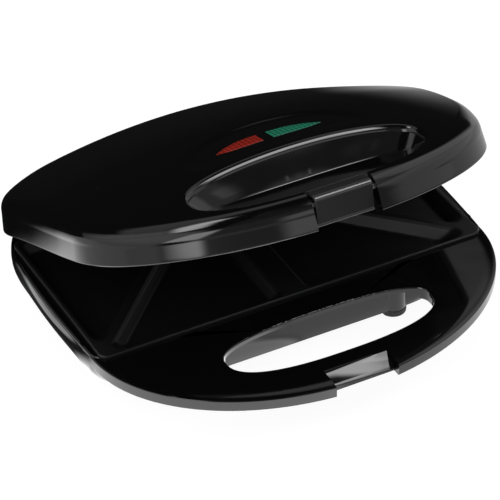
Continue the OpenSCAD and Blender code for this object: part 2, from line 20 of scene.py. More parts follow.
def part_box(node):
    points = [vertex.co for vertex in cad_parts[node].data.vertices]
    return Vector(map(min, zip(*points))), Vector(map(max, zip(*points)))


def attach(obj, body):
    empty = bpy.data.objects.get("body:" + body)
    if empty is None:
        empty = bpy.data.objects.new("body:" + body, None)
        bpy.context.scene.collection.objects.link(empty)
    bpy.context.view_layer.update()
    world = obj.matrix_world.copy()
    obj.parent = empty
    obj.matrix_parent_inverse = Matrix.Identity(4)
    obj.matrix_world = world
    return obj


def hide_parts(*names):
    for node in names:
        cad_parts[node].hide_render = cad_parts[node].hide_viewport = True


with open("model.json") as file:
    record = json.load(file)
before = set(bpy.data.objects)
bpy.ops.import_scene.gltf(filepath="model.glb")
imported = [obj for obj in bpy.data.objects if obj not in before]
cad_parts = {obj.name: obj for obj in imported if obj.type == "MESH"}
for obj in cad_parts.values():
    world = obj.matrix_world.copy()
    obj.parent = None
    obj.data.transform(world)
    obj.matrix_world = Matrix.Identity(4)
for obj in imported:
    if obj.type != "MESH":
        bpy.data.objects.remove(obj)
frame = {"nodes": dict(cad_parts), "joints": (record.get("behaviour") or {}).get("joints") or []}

log = logging.getLogger("toaster")
Array = np.ndarray
Material = bpy.types.Material
Colour = Three = tuple[float, float, float]
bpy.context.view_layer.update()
MM = 0.001
FAR = 400.0                           # further than any part of the toaster
NOTCH_W = 37.0                        # width of the bar's gap, which the clip hangs in
CLIP_PIN = (-69.2, 12.0)              # clip's pin in the lid's drawing: y and z
TAU = 2 * math.pi
FLIP = np.array([-1.0, 1.0])          # mirrors a flat outline in the centre plane


class Body(Enum):
    """Bodies of the frame that a piece can ride on."""

    BASE = "base"
    LID = "lid"
    CLIP = "clip"


class Join(Enum):
    """Ways of combining closed meshes."""

    UNION = "UNION"
    CUT = "DIFFERENCE"
    KEEP = "INTERSECT"


# ---------------------------------------------------------------- placing


@dataclass(frozen=True)
class Placement:
    """Where a drawing lies: it is lifted, turned about the hinge axis by `turn` and then shifted."""

    shift: tuple[float, float, float]
    pivot: tuple[float, float] = (0.0, 0.0)
    turn: float = 0.0
    lift: float = 0.0

    def carry(self, points: Array) -> Array:
        """Carries drawing points to the part's frame.

        Args:
            points: (n, 3) points in drawing millimetres.

        Returns:
            (n, 3) points in metres. y' = py + dy cos a + dz sin a, z' = pz - dy sin a + dz cos a.
        """
        x, y, z = points[:, 0], points[:, 1], points[:, 2] + self.lift
        dy, dz = y - self.pivot[0], z - self.pivot[1]
        c, s = math.cos(self.turn), math.sin(self.turn)
        turned = np.stack([x, self.pivot[0] + dy * c + dz * s, self.pivot[1] - dy * s + dz * c], axis=1)
        return (turned + np.array(self.shift)) * MM


def placements() -> tuple[Placement, Placement]:
    """Works out from the frame where the base's and the lid's drawings lie.

    Returns:
        The base's placement and the lid's, which stands open by the hinge's lower limit.
    """
    low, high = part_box("lower_plate")
    shift = (0.0, low.y / MM, high.z / MM)
    hinge = next(j for j in frame["joints"] if j["name"] == "lid_hinge")
    pivot = (hinge["pos_m"][1] / MM - shift[1], hinge["pos_m"][2] / MM - shift[2])
    return Placement(shift), Placement(shift, pivot, math.radians(-hinge["range_deg"][0]), lift=-1.7)


AT_BASE, AT_LID = placements()


# ---------------------------------------------------------------- meshes


def smooth(t: Array | float) -> Array:
    """Smooth step from 0 to 1 while t runs from 0 to 1."""
    t = np.clip(t, 0, 1)
    return t * t * (3 - 2 * t)


def rim(radius: float, *degrees: float) -> list[tuple[float, float]]:
    """Distances of a rounded rim's points, r (1 - cos a) from its side and r (1 - sin a) from its face."""
    return [(radius * (1 - math.cos(a)), radius * (1 - math.sin(a))) for a in np.radians(degrees)]


def between(start: Array, stop: Array, count: int, z: float) -> list[tuple[Array, float]]:
    """Outlines at equal steps between two others, which are left out, all at one height."""
    return [(start * (1 - s) + stop * s, z) for s in np.linspace(0, 1, count)[1:-1]]


def normals_of(outline: Array) -> Array:
    """Outward unit normals of a closed outline: the tangent turned by -90 degrees.

    Args:
        outline: (n, 2) points, counter-clockwise.

    Returns:
        (n, 2) normals.
    """
    tangent = np.roll(outline, -1, axis=0) - np.roll(outline, 1, axis=0)
    tangent /= np.linalg.norm(tangent, axis=1, keepdims=True) + 1e-12
    return np.column_stack([tangent[:, 1], -tangent[:, 0]])


def rim_levels(low: float, high: float, round_low: float, round_high: float, steps: int
               ) -> list[tuple[float, float]]:
    """Rings of an upright wall with rounded rims.

    Args:
        low: lower height.
        high: upper height.
        round_low: radius of the lower rim.
        round_high: radius of the upper rim.
        steps: rings in each rim.

    Returns:
        (inset, height) pairs from the bottom up.
    """
    angles = np.linspace(0, 90, steps + 1)
    foot, head = rim(round_low, *angles), rim(round_high, *angles)
    return (([(face, low + side) for side, face in foot] if round_low else [(0.0, low)])
            + ([(side, high - face) for side, face in head] if round_high else [(0.0, high)]))


@dataclass
class Skin:
    """Points and faces of one closed surface in drawing millimetres.

    A face has four point numbers, and a triangle repeats its last.
    """

    points: Array
    faces: Array

    @staticmethod
    def of_rings(rings: Sequence[Any], closed: bool = False, first: Array | None = None,
                 last: Array | None = None) -> "Skin":
        """Skins a stack of closed rings of equal count.

        Face k, i joins points i and i + 1 of ring k to those of ring k + 1. The ends are joined to
        each other when closed, and otherwise each is fanned to a tip or to its own middle.

        Args:
            rings: (columns, 3) points of each ring.
            closed: join the last ring to the first.
            first: tip that closes the first ring.
            last: tip that closes the last ring.

        Returns:
            A closed skin whose faces look outwards.
        """
        stack = np.array(rings, float)
        rows, columns = stack.shape[:2]
        number = np.arange(rows * columns).reshape(rows, columns)
        below, above = (number, np.roll(number, -1, axis=0)) if closed else (number[:-1], number[1:])
        quads = np.stack([below, np.roll(below, -1, axis=1), np.roll(above, -1, axis=1), above], axis=-1)
        points, faces = [stack.reshape(-1, 3)], [quads.reshape(-1, 4)]
        if not closed:
            for ring, row, tip in ((number[0][::-1], stack[0], first), (number[-1], stack[-1], last)):
                end = np.full_like(ring, rows * columns + len(points) - 1)
                faces.append(np.stack([ring, np.roll(ring, -1), end, end], axis=1))
                points.append(np.reshape(row.mean(axis=0) if tip is None else tip, (1, 3)))
        return Skin(np.vstack(points), np.vstack(faces)).outward()

    @staticmethod
    def stacked(levels: Iterable[tuple[Array, Any]], **ends: Any) -> "Skin":
        """Skins flat outlines, each given with the height of all its points or of each."""
        return Skin.of_rings([np.column_stack([p, np.broadcast_to(z, len(p))]) for p, z in levels], **ends)

    @staticmethod
    def prism(outline: Array, low: float, high: float, round_low: float = 0.0, round_high: float = 0.0
              ) -> "Skin":
        """Raises a flat outline between two heights.

        Args:
            outline: (n, 2) points, counter-clockwise.
            low: lower height.
            high: upper height.
            round_low: radius of the lower rim.
            round_high: radius of the upper rim.

        Returns:
            The closed prism.
        """
        normal = normals_of(outline)
        return Skin.stacked((outline - normal * inset, z)
                            for inset, z in rim_levels(low, high, round_low, round_high, 4))

    def outward(self) -> "Skin":
        """Turns the faces outwards, by the sign of the volume under them.

        Returns:
            The skin, or the same with every face turned over.
        """
        a, b, c, d = (self.points[self.faces[:, k]] for k in range(4))
        volume = np.einsum("ij,ij->i", a, np.cross(b, c) + np.cross(c, d)).sum()
        return self if volume > 0 else Skin(self.points, self.faces[:, ::-1])

    def moved(self, change: Callable[[Array], Array]) -> "Skin":
        """The skin with its points changed by a function of all of them."""
        return Skin(change(self.points), self.faces).outward()

    def mirrored(self) -> "Skin":
        """The skin's mirror image in the centre plane."""
        return self.moved(lambda p: p * np.array([-1.0, 1.0, 1.0]))

    def both(self) -> tuple["Skin", "Skin"]:
        """The skin and its mirror image."""
        return self, self.mirrored()


def resampled(outline: Array, count: int) -> Array:
    """Spreads the points of a closed outline evenly.

    Args:
        outline: (n, 2) points.
        count: number of points wanted.

    Returns:
        (count, 2) points at equal steps of arc length.
    """
    loop = np.vstack([outline, outline[:1]])
    run = np.concatenate([[0.0], np.cumsum(np.linalg.norm(np.diff(loop, axis=0), axis=1))])
    at = np.arange(count) / count * run[-1]
    return np.column_stack([np.interp(at, run, loop[:, k]) for k in range(2)])


def arc(middle: Sequence[float], radius: float, start: float, stop: float, count: int) -> Array:
    """Points round a circle between two angles in degrees, both ends included.

    Args:
        middle: the circle's centre.
        radius: its radius.
        start: first angle.
        stop: last angle.
        count: number of points.

    Returns:
        (count, 2) points.
    """
    a = np.radians(np.linspace(start, stop, count))
    return np.array(middle) + np.column_stack([np.cos(a), np.sin(a)]) * radius


def rounded_box(low: Sequence[float], size: Sequence[float], radius: float) -> Array:
    """Counter-clockwise outline of a rectangle with rounded corners.

    Args:
        low: its lowest corner.
        size: its width and depth.
        radius: radius of the corners.

    Returns:
        Ten points for each corner.
    """
    x0, y0, x1, y1 = low[0] + radius, low[1] + radius, low[0] + size[0] - radius, low[1] + size[1] - radius
    middles = ((x1, y1), (x0, y1), (x0, y0), (x1, y0))
    return np.vstack([arc(middle, radius, 90 * k, 90 * k + 90, 10) for k, middle in enumerate(middles)])


def box_skin(low: Sequence[float], high: Sequence[float]) -> Skin:
    """A plain box between two corners."""
    corners = [(low[0], low[1]), (high[0], low[1]), (high[0], high[1]), (low[0], high[1])]
    return Skin.prism(np.array(corners, float), low[2], high[2])


def shaft(radius: float, ends: tuple[float, float], centre: Sequence[float], axis: str,
          rounding: float = 0.0, count: int = 48) -> Skin:
    """A round bar with rounded ends.

    Args:
        radius: its radius.
        ends: where it starts and stops along the axis.
        centre: the axis's zero point.
        axis: "x", "y" or "z".
        rounding: radius of the rounded ends.
        count: points round it.

    Returns:
        The closed bar.
    """
    a = np.arange(count) / count * TAU
    rings = []
    for inset, at in rim_levels(*ends, rounding, rounding, 3):
        u, v, along = (radius - inset) * np.cos(a), (radius - inset) * np.sin(a), np.full(count, at)
        order = {"x": (along, u, v), "y": (v, along, u), "z": (u, v, along)}[axis]
        rings.append(np.column_stack(order) + np.array(centre, float))
    return Skin.of_rings(rings)


def new_object(name: str, data: bpy.types.ID) -> bpy.types.Object:
    """Makes an object and links it to the scene.

    Args:
        name: its name.
        data: its mesh, camera or lamp.

    Returns:
        The object.
    """
    made = bpy.data.objects.new(name, data)
    bpy.context.scene.collection.objects.link(made)
    return made


class Solid:
    """A closed mesh object in the part's frame that can be combined with others."""

    def __init__(self, name: str, skin: Skin, placement: Placement) -> None:
        """Puts a skin into a mesh object.

        Args:
            name: the object's name.
            skin: what it is made of.
            placement: where the drawing lies.
        """
        mesh = bpy.data.meshes.new(name)
        faces = [list(dict.fromkeys(face)) for face in skin.faces.tolist()]
        mesh.from_pydata(placement.carry(skin.points).tolist(), [], faces)
        mesh.update()
        self.placement = placement
        self.object = new_object(name, mesh)

    def combine(self, how: Join, *others: "Skin | Solid") -> "Solid":
        """Combines the mesh with others, one after the other, and uses them up.

        Args:
            how: union, cut or keep.
            others: skins in the same drawing frame, or solids.

        Returns:
            This solid.
        """
        tools = [o if isinstance(o, Solid) else Solid("tool", o, self.placement) for o in others]
        for tool in tools:
            change = self.object.modifiers.new(how.value, "BOOLEAN")
            change.operation, change.object, change.solver = how.value, tool.object, "MANIFOLD"
        seen = self.object.evaluated_get(bpy.context.evaluated_depsgraph_get())
        made, old = bpy.data.meshes.new_from_object(seen), self.object.data
        self.object.modifiers.clear()
        self.object.data = made
        bpy.data.meshes.remove(old)
        for tool in tools:
            mesh = tool.object.data
            bpy.data.objects.remove(tool.object)
            bpy.data.meshes.remove(mesh)
        self.object.data.name = self.object.name
        return self

    def finish(self, material: Material, body: Body, slot: str, replaced: str, crease: float = 30.0
               ) -> None:
        """Smooths the piece, dresses it and puts it on its body.

        Args:
            material: its finish.
            body: the body that it rides on.
            slot: the record's material slot; not used.
            replaced: the CAD node that it stands for.
            crease: edges that turn by more than this many degrees stay sharp.
        """
        mesh = self.object.data
        mesh.materials.clear()
        mesh.materials.append(material)
        mesh.polygons.foreach_set("use_smooth", np.ones(len(mesh.polygons), bool))
        mesh.set_sharp_from_angle(angle=math.radians(crease))
        weigh = self.object.modifiers.new("weighted normals", "WEIGHTED_NORMAL")
        weigh.keep_sharp = True
        weigh.weight = 60
        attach(self.object, body.value)
        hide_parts(replaced)
        triangles = sum(len(p.vertices) - 2 for p in mesh.polygons)
        log.info("%s: %d triangles on %s", self.object.name, triangles, body.value)


# ---------------------------------------------------------------- plan of both shells


@dataclass(frozen=True)
class Plan:
    """The shells' plan: a half-elliptical bow in front, straight sides and round rear corners."""

    half_w: float = 118.5
    bow_d: float = 84.8
    bow_y: float = 8.0
    rear_y: float = 143.0
    corner_r: float = 45.0

    def dense(self, count: int = 900) -> tuple[Array, Array]:
        """The plan as many points with their outward normals.

        The bow is x = w sin a, y = y0 - d cos a, with normal (sin a / w, -cos a / d); then the straight
        side, a quarter circle, the straight rear and the same mirrored.

        Args:
            count: points in each stretch.

        Returns:
            (n, 2) points, counter-clockwise from the left end of the bow, and (n, 2) normals.
        """
        a = np.linspace(-math.pi / 2, math.pi / 2, 2 * count)
        bow = np.column_stack([self.half_w * np.sin(a), self.bow_y - self.bow_d * np.cos(a)])
        bow_n = np.column_stack([np.sin(a) / self.half_w, -np.cos(a) / self.bow_d])
        bow_n /= np.linalg.norm(bow_n, axis=1, keepdims=True)
        t = np.linspace(0, 1, count + 1)[1:-1]
        corner = np.array([self.half_w, self.rear_y]) - self.corner_r
        side = np.column_stack([np.full_like(t, self.half_w), self.bow_y + t * (corner[1] - self.bow_y)])
        side_n = np.tile([1.0, 0.0], (len(t), 1))
        q = np.linspace(0, math.pi / 2, count)
        quarter_n = np.column_stack([np.cos(q), np.sin(q)])
        quarter = corner + self.corner_r * quarter_n
        rear = np.column_stack([corner[0] * (1 - 2 * t), np.full_like(t, self.rear_y)])
        rear_n = np.tile([0.0, 1.0], (len(t), 1))
        points = np.vstack([bow, side, quarter, rear, quarter[::-1] * FLIP, side[::-1] * FLIP])
        normal = np.vstack([bow_n, side_n, quarter_n, rear_n, quarter_n[::-1] * FLIP, side_n[::-1] * FLIP])
        return points, normal


PLAN = Plan()
PLATE_ROOM = rounded_box((-115.4, -0.4), (230.8, 114.8), 5.4)      # opening that a plate sits in


def superellipse(half_w: float, centre_y: float, reaches: tuple[float, float], powers: tuple[float, float]
                 ) -> Array:
    """Outline of a hand slot: two half superellipses, |x / w|^p + |y / d|^p = 1.

    Args:
        half_w: half its width.
        centre_y: where its halves meet.
        reaches: reach behind that line and in front of it.
        powers: power of the rear half and of the front half.

    Returns:
        (2400, 2) points, counter-clockwise from the right end.
    """
    a = np.arange(2400) / 2400 * TAU
    c, s = np.cos(a), np.sin(a)
    p, reach = np.where(s >= 0, powers[0], powers[1]), np.where(s >= 0, reaches[0], reaches[1])
    x = half_w * np.sign(c) * np.abs(c) ** (2 / p)
    return np.column_stack([x, centre_y + reach * np.sign(s) * np.abs(s) ** (2 / p)])


def by_bearing(outline: Array, centre: Array, bearings: Array) -> Array:
    """Points of a star-shaped outline in given directions from a centre.

    Args:
        outline: (n, 2) points.
        centre: a centre that all of the outline is seen from.
        bearings: angles of the directions.

    Returns:
        One point for each bearing.
    """
    arm = outline - centre
    own = np.mod(np.arctan2(arm[:, 1], arm[:, 0]), TAU)
    order = np.argsort(own)
    at = np.interp(np.mod(bearings, TAU), own[order], np.linalg.norm(arm, axis=1)[order], period=TAU)
    return centre + np.column_stack([np.cos(bearings), np.sin(bearings)]) * at[:, None]


@dataclass
class Columns:
    """Points of a shell's outline and its hand slot's in the same directions, with their normals."""

    outer: Array
    outer_n: Array
    bearings: Array
    inner: Array
    inner_n: Array

    @staticmethod
    def chosen(outer: Array, outer_n: Array, slot: Array, centre: Array, count: int, inset: float = 0.0
               ) -> "Columns":
        """Chooses points of a dense outline so that they space it and the slot well.

        The measure that is cut into equal steps adds arc length and turning of both outlines.

        Args:
            outer: (n, 2) dense outline.
            outer_n: its normals.
            slot: (m, 2) dense outline of the slot.
            centre: a centre that sees both.
            count: number of columns wanted.
            inset: how far the outline is drawn in.

        Returns:
            The columns.
        """
        def bearing(points: Array) -> Array:
            """Direction of each point from the centre."""
            return np.arctan2(points[:, 1] - centre[1], points[:, 0] - centre[0])

        order = np.argsort(np.mod(bearing(outer), TAU))
        outer, outer_n = outer[order], outer_n[order]
        matched = by_bearing(slot, centre, np.unwrap(bearing(outer)))
        measure = np.zeros(len(outer))
        for weight, line in ((1.0, outer), (1.2, matched), (0.5, outer_n), (1.0, normals_of(matched))):
            step = np.linalg.norm(np.diff(line, axis=0), axis=1)
            measure[1:] += weight * np.cumsum(step) / step.sum()
        pick = np.unique(np.searchsorted(measure, np.arange(count) / count * measure[-1]))
        outer, outer_n = outer[pick] - outer_n[pick] * inset, outer_n[pick]
        inner = by_bearing(slot, centre, bearing(outer))
        return Columns(outer, outer_n, bearing(outer), inner, normals_of(inner))

    def out(self, inset: float | Array) -> Array:
        """The outline drawn in, by one amount or by each column's own."""
        return self.outer - self.outer_n * np.reshape(inset, (-1, 1))

    def slot(self, grow: float | Array) -> Array:
        """The slot's outline grown, by one amount or by each column's own."""
        return self.inner + self.inner_n * np.reshape(grow, (-1, 1))


# ---------------------------------------------------------------- shader expressions


class Wire:
    """A socket's value in an expression; each operation adds its Math node."""

    def __init__(self, tree: "Tree", socket: bpy.types.NodeSocket) -> None:
        """Wraps a socket of a tree."""
        self.tree, self.socket = tree, socket

    def math(self, kind: str, *values: Any, clamp: bool = False) -> "Wire":
        """Adds one Math node on the given values."""
        settings = {"operation": kind, "use_clamp": clamp}
        return self.tree.node("ShaderNodeMath", settings, dict(enumerate(values)))["Value"]

    def __add__(self, other: Any) -> "Wire":
        """self + other."""
        return self.math("ADD", self, other)

    def __sub__(self, other: Any) -> "Wire":
        """self - other."""
        return self.math("SUBTRACT", self, other)

    def __rsub__(self, other: Any) -> "Wire":
        """other - self."""
        return self.math("SUBTRACT", other, self)

    def __mul__(self, other: Any) -> "Wire":
        """self * other."""
        return self.math("MULTIPLY", self, other)

    def __pow__(self, other: Any) -> "Wire":
        """self ** other."""
        return self.math("POWER", self, other)

    __radd__, __rmul__ = __add__, __mul__

    def sine(self) -> "Wire":
        """Sine of the value."""
        return self.math("SINE", self)

    def bearing(self, other: Any) -> "Wire":
        """Angle in degrees whose tangent is self / other."""
        return self.math("ARCTAN2", self, other) * math.degrees(1)

    def rise(self) -> "Wire":
        """Angle in degrees whose sine is the value."""
        return self.math("ARCSINE", self) * math.degrees(1)

    def clamped(self) -> "Wire":
        """The value kept between 0 and 1."""
        return self.math("ADD", self, 0.0, clamp=True)

    def ramp(self, low: float, high: float, out_low: float = 0.0, out_high: float = 1.0) -> "Wire":
        """The value carried smoothly from one range to another and held outside it."""
        values = {"Value": self, "From Min": low, "From Max": high, "To Min": out_low, "To Max": out_high}
        return self.tree.node("ShaderNodeMapRange", {"interpolation_type": "SMOOTHSTEP"}, values)["Result"]

    def within(self, low: float, high: float, soft: float) -> "Wire":
        """1 between two values and 0 outside them, with soft edges."""
        return self.ramp(low - soft, low + soft) * self.ramp(high - soft, high + soft, 1.0, 0.0)


class Made:
    """A node just made, whose outputs are read by name."""

    def __init__(self, tree: "Tree", node: bpy.types.Node) -> None:
        """Keeps a node of a tree."""
        self.tree, self.node = tree, node

    def __getitem__(self, name: str | int) -> Wire:
        """The output of that name or number."""
        return Wire(self.tree, self.node.outputs[name])


class Tree:
    """Node tree of a material or a world, built by calls."""

    def __init__(self, owner: bpy.types.Material | bpy.types.World) -> None:
        """Empties the owner's tree.

        Args:
            owner: the material or world.
        """
        owner.use_nodes = True
        self.tree = owner.node_tree
        self.tree.nodes.clear()

    def node(self, kind: str, settings: dict[str, Any] | None = None,
             values: dict[str | int, Any] | None = None) -> Made:
        """Makes one node.

        Args:
            kind: the node's type name.
            settings: its own settings, set first.
            values: numbers, colours or wires for its sockets, by name or number.

        Returns:
            The node.
        """
        node = self.tree.nodes.new(kind)
        for name, value in (settings or {}).items():
            setattr(node, name, value)
        for name, value in (values or {}).items():
            socket = node.inputs[name]
            if isinstance(value, Wire):
                self.tree.links.new(value.socket, socket)
            elif isinstance(value, tuple) and socket.type == "RGBA":
                socket.default_value = (*value, 1.0)
            else:
                socket.default_value = value
        return Made(self, node)

    def place(self) -> Wire:
        """Object coordinates."""
        return self.node("ShaderNodeTexCoord")["Object"]

    def axes(self, vector: Wire) -> tuple[Wire, Wire, Wire]:
        """The three parts of a vector."""
        made = self.node("ShaderNodeSeparateXYZ", None, {"Vector": vector})
        return made["X"], made["Y"], made["Z"]

    def noise(self, scale: float, detail: float, rough: float, where: Wire | None = None) -> Wire:
        """Noise from 0 to 1.

        Args:
            scale: waves in each metre.
            detail: octaves.
            rough: strength of the finer octaves.
            where: coordinates to read; the object's own when left out.

        Returns:
            The noise's value.
        """
        values = {"Vector": where or self.place(), "Scale": scale, "Detail": detail, "Roughness": rough}
        return self.node("ShaderNodeTexNoise", None, values)["Fac"]

    def blend(self, factor: Wire, first: Any, second: Any) -> Wire:
        """Mixes two colours by a factor."""
        return self.node("ShaderNodeMix", {"data_type": "RGBA"}, {0: factor, 6: first, 7: second})[2]

    def bump(self, height: Wire, distance: float, strength: float) -> Wire:
        """Normal tilted by a height in metres times the distance."""
        values = {"Height": height, "Distance": distance, "Strength": strength}
        return self.node("ShaderNodeBump", None, values)["Normal"]


# ---------------------------------------------------------------- finishes


@dataclass(frozen=True)
class Finish:
    """A finish: one shader, whose values each kind works out on the material's tree."""

    name: str
    colour: Colour

    def values(self, tree: Tree) -> dict[str, Any]:
        """Values of the shader's sockets; each kind has its own."""
        raise NotImplementedError

    def material(self) -> Material:
        """Makes the finish.

        Returns:
            The material.
        """
        material = bpy.data.materials.new(self.name)
        tree = Tree(material)
        shader = tree.node("ShaderNodeBsdfPrincipled", None, self.values(tree))
        tree.node("ShaderNodeOutputMaterial", None, {"Surface": shader["BSDF"]})
        return material


@dataclass(frozen=True)
class GlossMoulding(Finish):
    """Polished black moulding: fine ripple of the mould, faint wipe marks and a little dust."""

    name: str = "gloss_moulding"
    colour: Colour = (0.0027, 0.0027, 0.0029)
    rough: float = 0.07
    marks: float = 0.035
    ripple: float = 0.00072

    def values(self, tree: Tree) -> dict[str, Any]:
        """Values of the shader's sockets.

        Args:
            tree: the material's tree.

        Returns:
            Number, colour or wire for each socket.
        """
        wiped, fine = tree.noise(38.0, 4.0, 0.6).ramp(0.45, 0.75), tree.noise(420.0, 3.0, 0.55)
        dust = tree.noise(2600.0, 1.0, 0.5).ramp(0.74, 0.82) * 0.12
        return {"Base Color": tree.blend(dust, self.colour, (0.05, 0.05, 0.05)), "IOR": 1.49,
                "Roughness": self.rough + self.marks * wiped + 0.02 * fine,
                "Normal": tree.bump(tree.noise(24.0, 2.0, 0.4), self.ripple, 0.25)}


@dataclass(frozen=True)
class NonStick(Finish):
    """Dark cooking-plate coating: satin, lightly orange-peeled, with fine speckle and faint wear."""

    name: str = "non_stick"
    colour: Colour = (0.0055, 0.0055, 0.0058)
    speckle: Colour = (0.05, 0.05, 0.052)
    rough: float = 0.36

    def values(self, tree: Tree) -> dict[str, Any]:
        """Values of the shader's sockets.

        Args:
            tree: the material's tree.

        Returns:
            Number, colour or wire for each socket.
        """
        speck = tree.noise(3200.0, 1.0, 0.5).ramp(0.66, 0.78)
        return {"Base Color": tree.blend(speck * 0.5, self.colour, self.speckle), "IOR": 1.34,
                "Roughness": self.rough + 0.14 * tree.noise(26.0, 4.0, 0.6) - 0.05 * speck,
                "Normal": tree.bump(tree.noise(900.0, 2.0, 0.5), 0.0001, 0.35)}


@dataclass(frozen=True)
class TintedWindow(Finish):
    """Clear coloured moulding, with diamond facets from two crossed sine waves of the place; its colour is
    painted lighter and darker with the facets as painted light, and a faint emission paints a glow.
    """

    deep: Colour
    ribs: float = 1250.0

    def values(self, tree: Tree) -> dict[str, Any]:
        """Values of the shader's sockets.

        Args:
            tree: the material's tree.

        Returns:
            Number, colour or wire for each socket.
        """
        x, y, _ = tree.axes(tree.place())
        facets = ((x + y) * self.ribs).sine() * ((x - y) * self.ribs).sine()
        cloudy = tree.noise(160.0, 3.0, 0.6)
        # The colour is lighter and darker with the facets: painted light on the facets, over a random
        # cloudy tone.
        tint_with_painted_facet_light = tree.blend((facets * 0.5 + 0.35 + cloudy * 0.3).clamped(), self.deep, self.colour)
        # The emission is a faint painted glow: the window is no lamp.
        return {"Base Color": tint_with_painted_facet_light, "Roughness": 0.12 + 0.1 * cloudy, "IOR": 1.49,
                "Normal": tree.bump(facets, 0.0001, 0.5), "Emission Color": tint_with_painted_facet_light,
                "Emission Strength": 0.05}


@dataclass(frozen=True)
class LampGlass(Finish):
    """Small glass neon lamp with pale streaks."""

    def values(self, tree: Tree) -> dict[str, Any]:
        """Values of the shader's sockets."""
        streak = tree.noise(500.0, 2.0, 0.5)
        return {"Base Color": tree.blend(streak, self.colour, (0.9, 0.9, 0.88)), "IOR": 1.47,
                "Roughness": 0.05 + 0.05 * streak, "Transmission Weight": 0.6}


@dataclass(frozen=True)
class GrainMoulding(Finish):
    """Plain black moulding with a fine spark-eroded grain and paler clouds."""

    name: str = "grain_moulding"
    colour: Colour = (0.016, 0.016, 0.017)
    paler: float = 1.35

    def values(self, tree: Tree) -> dict[str, Any]:
        """Values of the shader's sockets.

        Args:
            tree: the material's tree.

        Returns:
            Number, colour or wire for each socket.
        """
        cloudy, pale = tree.noise(30.0, 3.0, 0.5), tuple(c * self.paler for c in self.colour)
        return {"Base Color": tree.blend(cloudy, self.colour, pale), "Roughness": 0.42 + 0.12 * cloudy,
                "Normal": tree.bump(tree.noise(1500.0, 3.0, 0.65), 0.00018, 0.6), "IOR": 1.49}


@dataclass(frozen=True)
class Grained(Finish):
    """Finish of ceramic, fibre or rubber: a second colour in clouds, over a bumped grain.

    The clouds and the grain are noises, given as waves in a metre, octaves and strength of the finer
    ones. `patches` is the range of the clouds over which the second colour comes in, `relief` the
    bump's depth and strength, and `stretch` the waves of the grain along each axis.
    """

    second: Colour
    rough: float = 0.75
    stretch: Three = (1.0, 1.0, 1.0)
    clouds: Three = (60.0, 3.0, 0.5)
    patches: tuple[float, float] = (0.4, 0.8)
    grain: Three = (700.0, 4.0, 0.6)
    relief: tuple[float, float] = (0.00012, 0.5)
    cloud_rough: float = 0.0
    grain_rough: float = 0.12
    metallic: float = 0.0

    def values(self, tree: Tree) -> dict[str, Any]:
        """Values of the shader's sockets.

        Args:
            tree: the material's tree.

        Returns:
            Number, colour or wire for each socket.
        """
        stretched = tree.node("ShaderNodeMapping", None, {"Vector": tree.place(), "Scale": self.stretch})
        clouds, grain = tree.noise(*self.clouds), tree.noise(*self.grain, stretched["Vector"])
        return {"Base Color": tree.blend(clouds.ramp(*self.patches), self.colour, self.second),
                "Roughness": self.rough + self.grain_rough * grain + self.cloud_rough * clouds,
                "Normal": tree.bump(grain, *self.relief), "Metallic": self.metallic}


@dataclass(frozen=True)
class Metal(Grained):
    """Bare metal, drawn or brushed along one axis, with cloudy tarnish."""

    rough: float = 0.28
    stretch: Three = (60.0, 900.0, 900.0)
    clouds: Three = (70.0, 4.0, 0.6)
    patches: tuple[float, float] = (0.4, 0.75)
    grain: Three = (1.0, 3.0, 0.6)
    relief: tuple[float, float] = (0.00003, 0.4)
    cloud_rough: float = 0.1
    grain_rough: float = 0.14
    metallic: float = 1.0


# ---------------------------------------------------------------- base


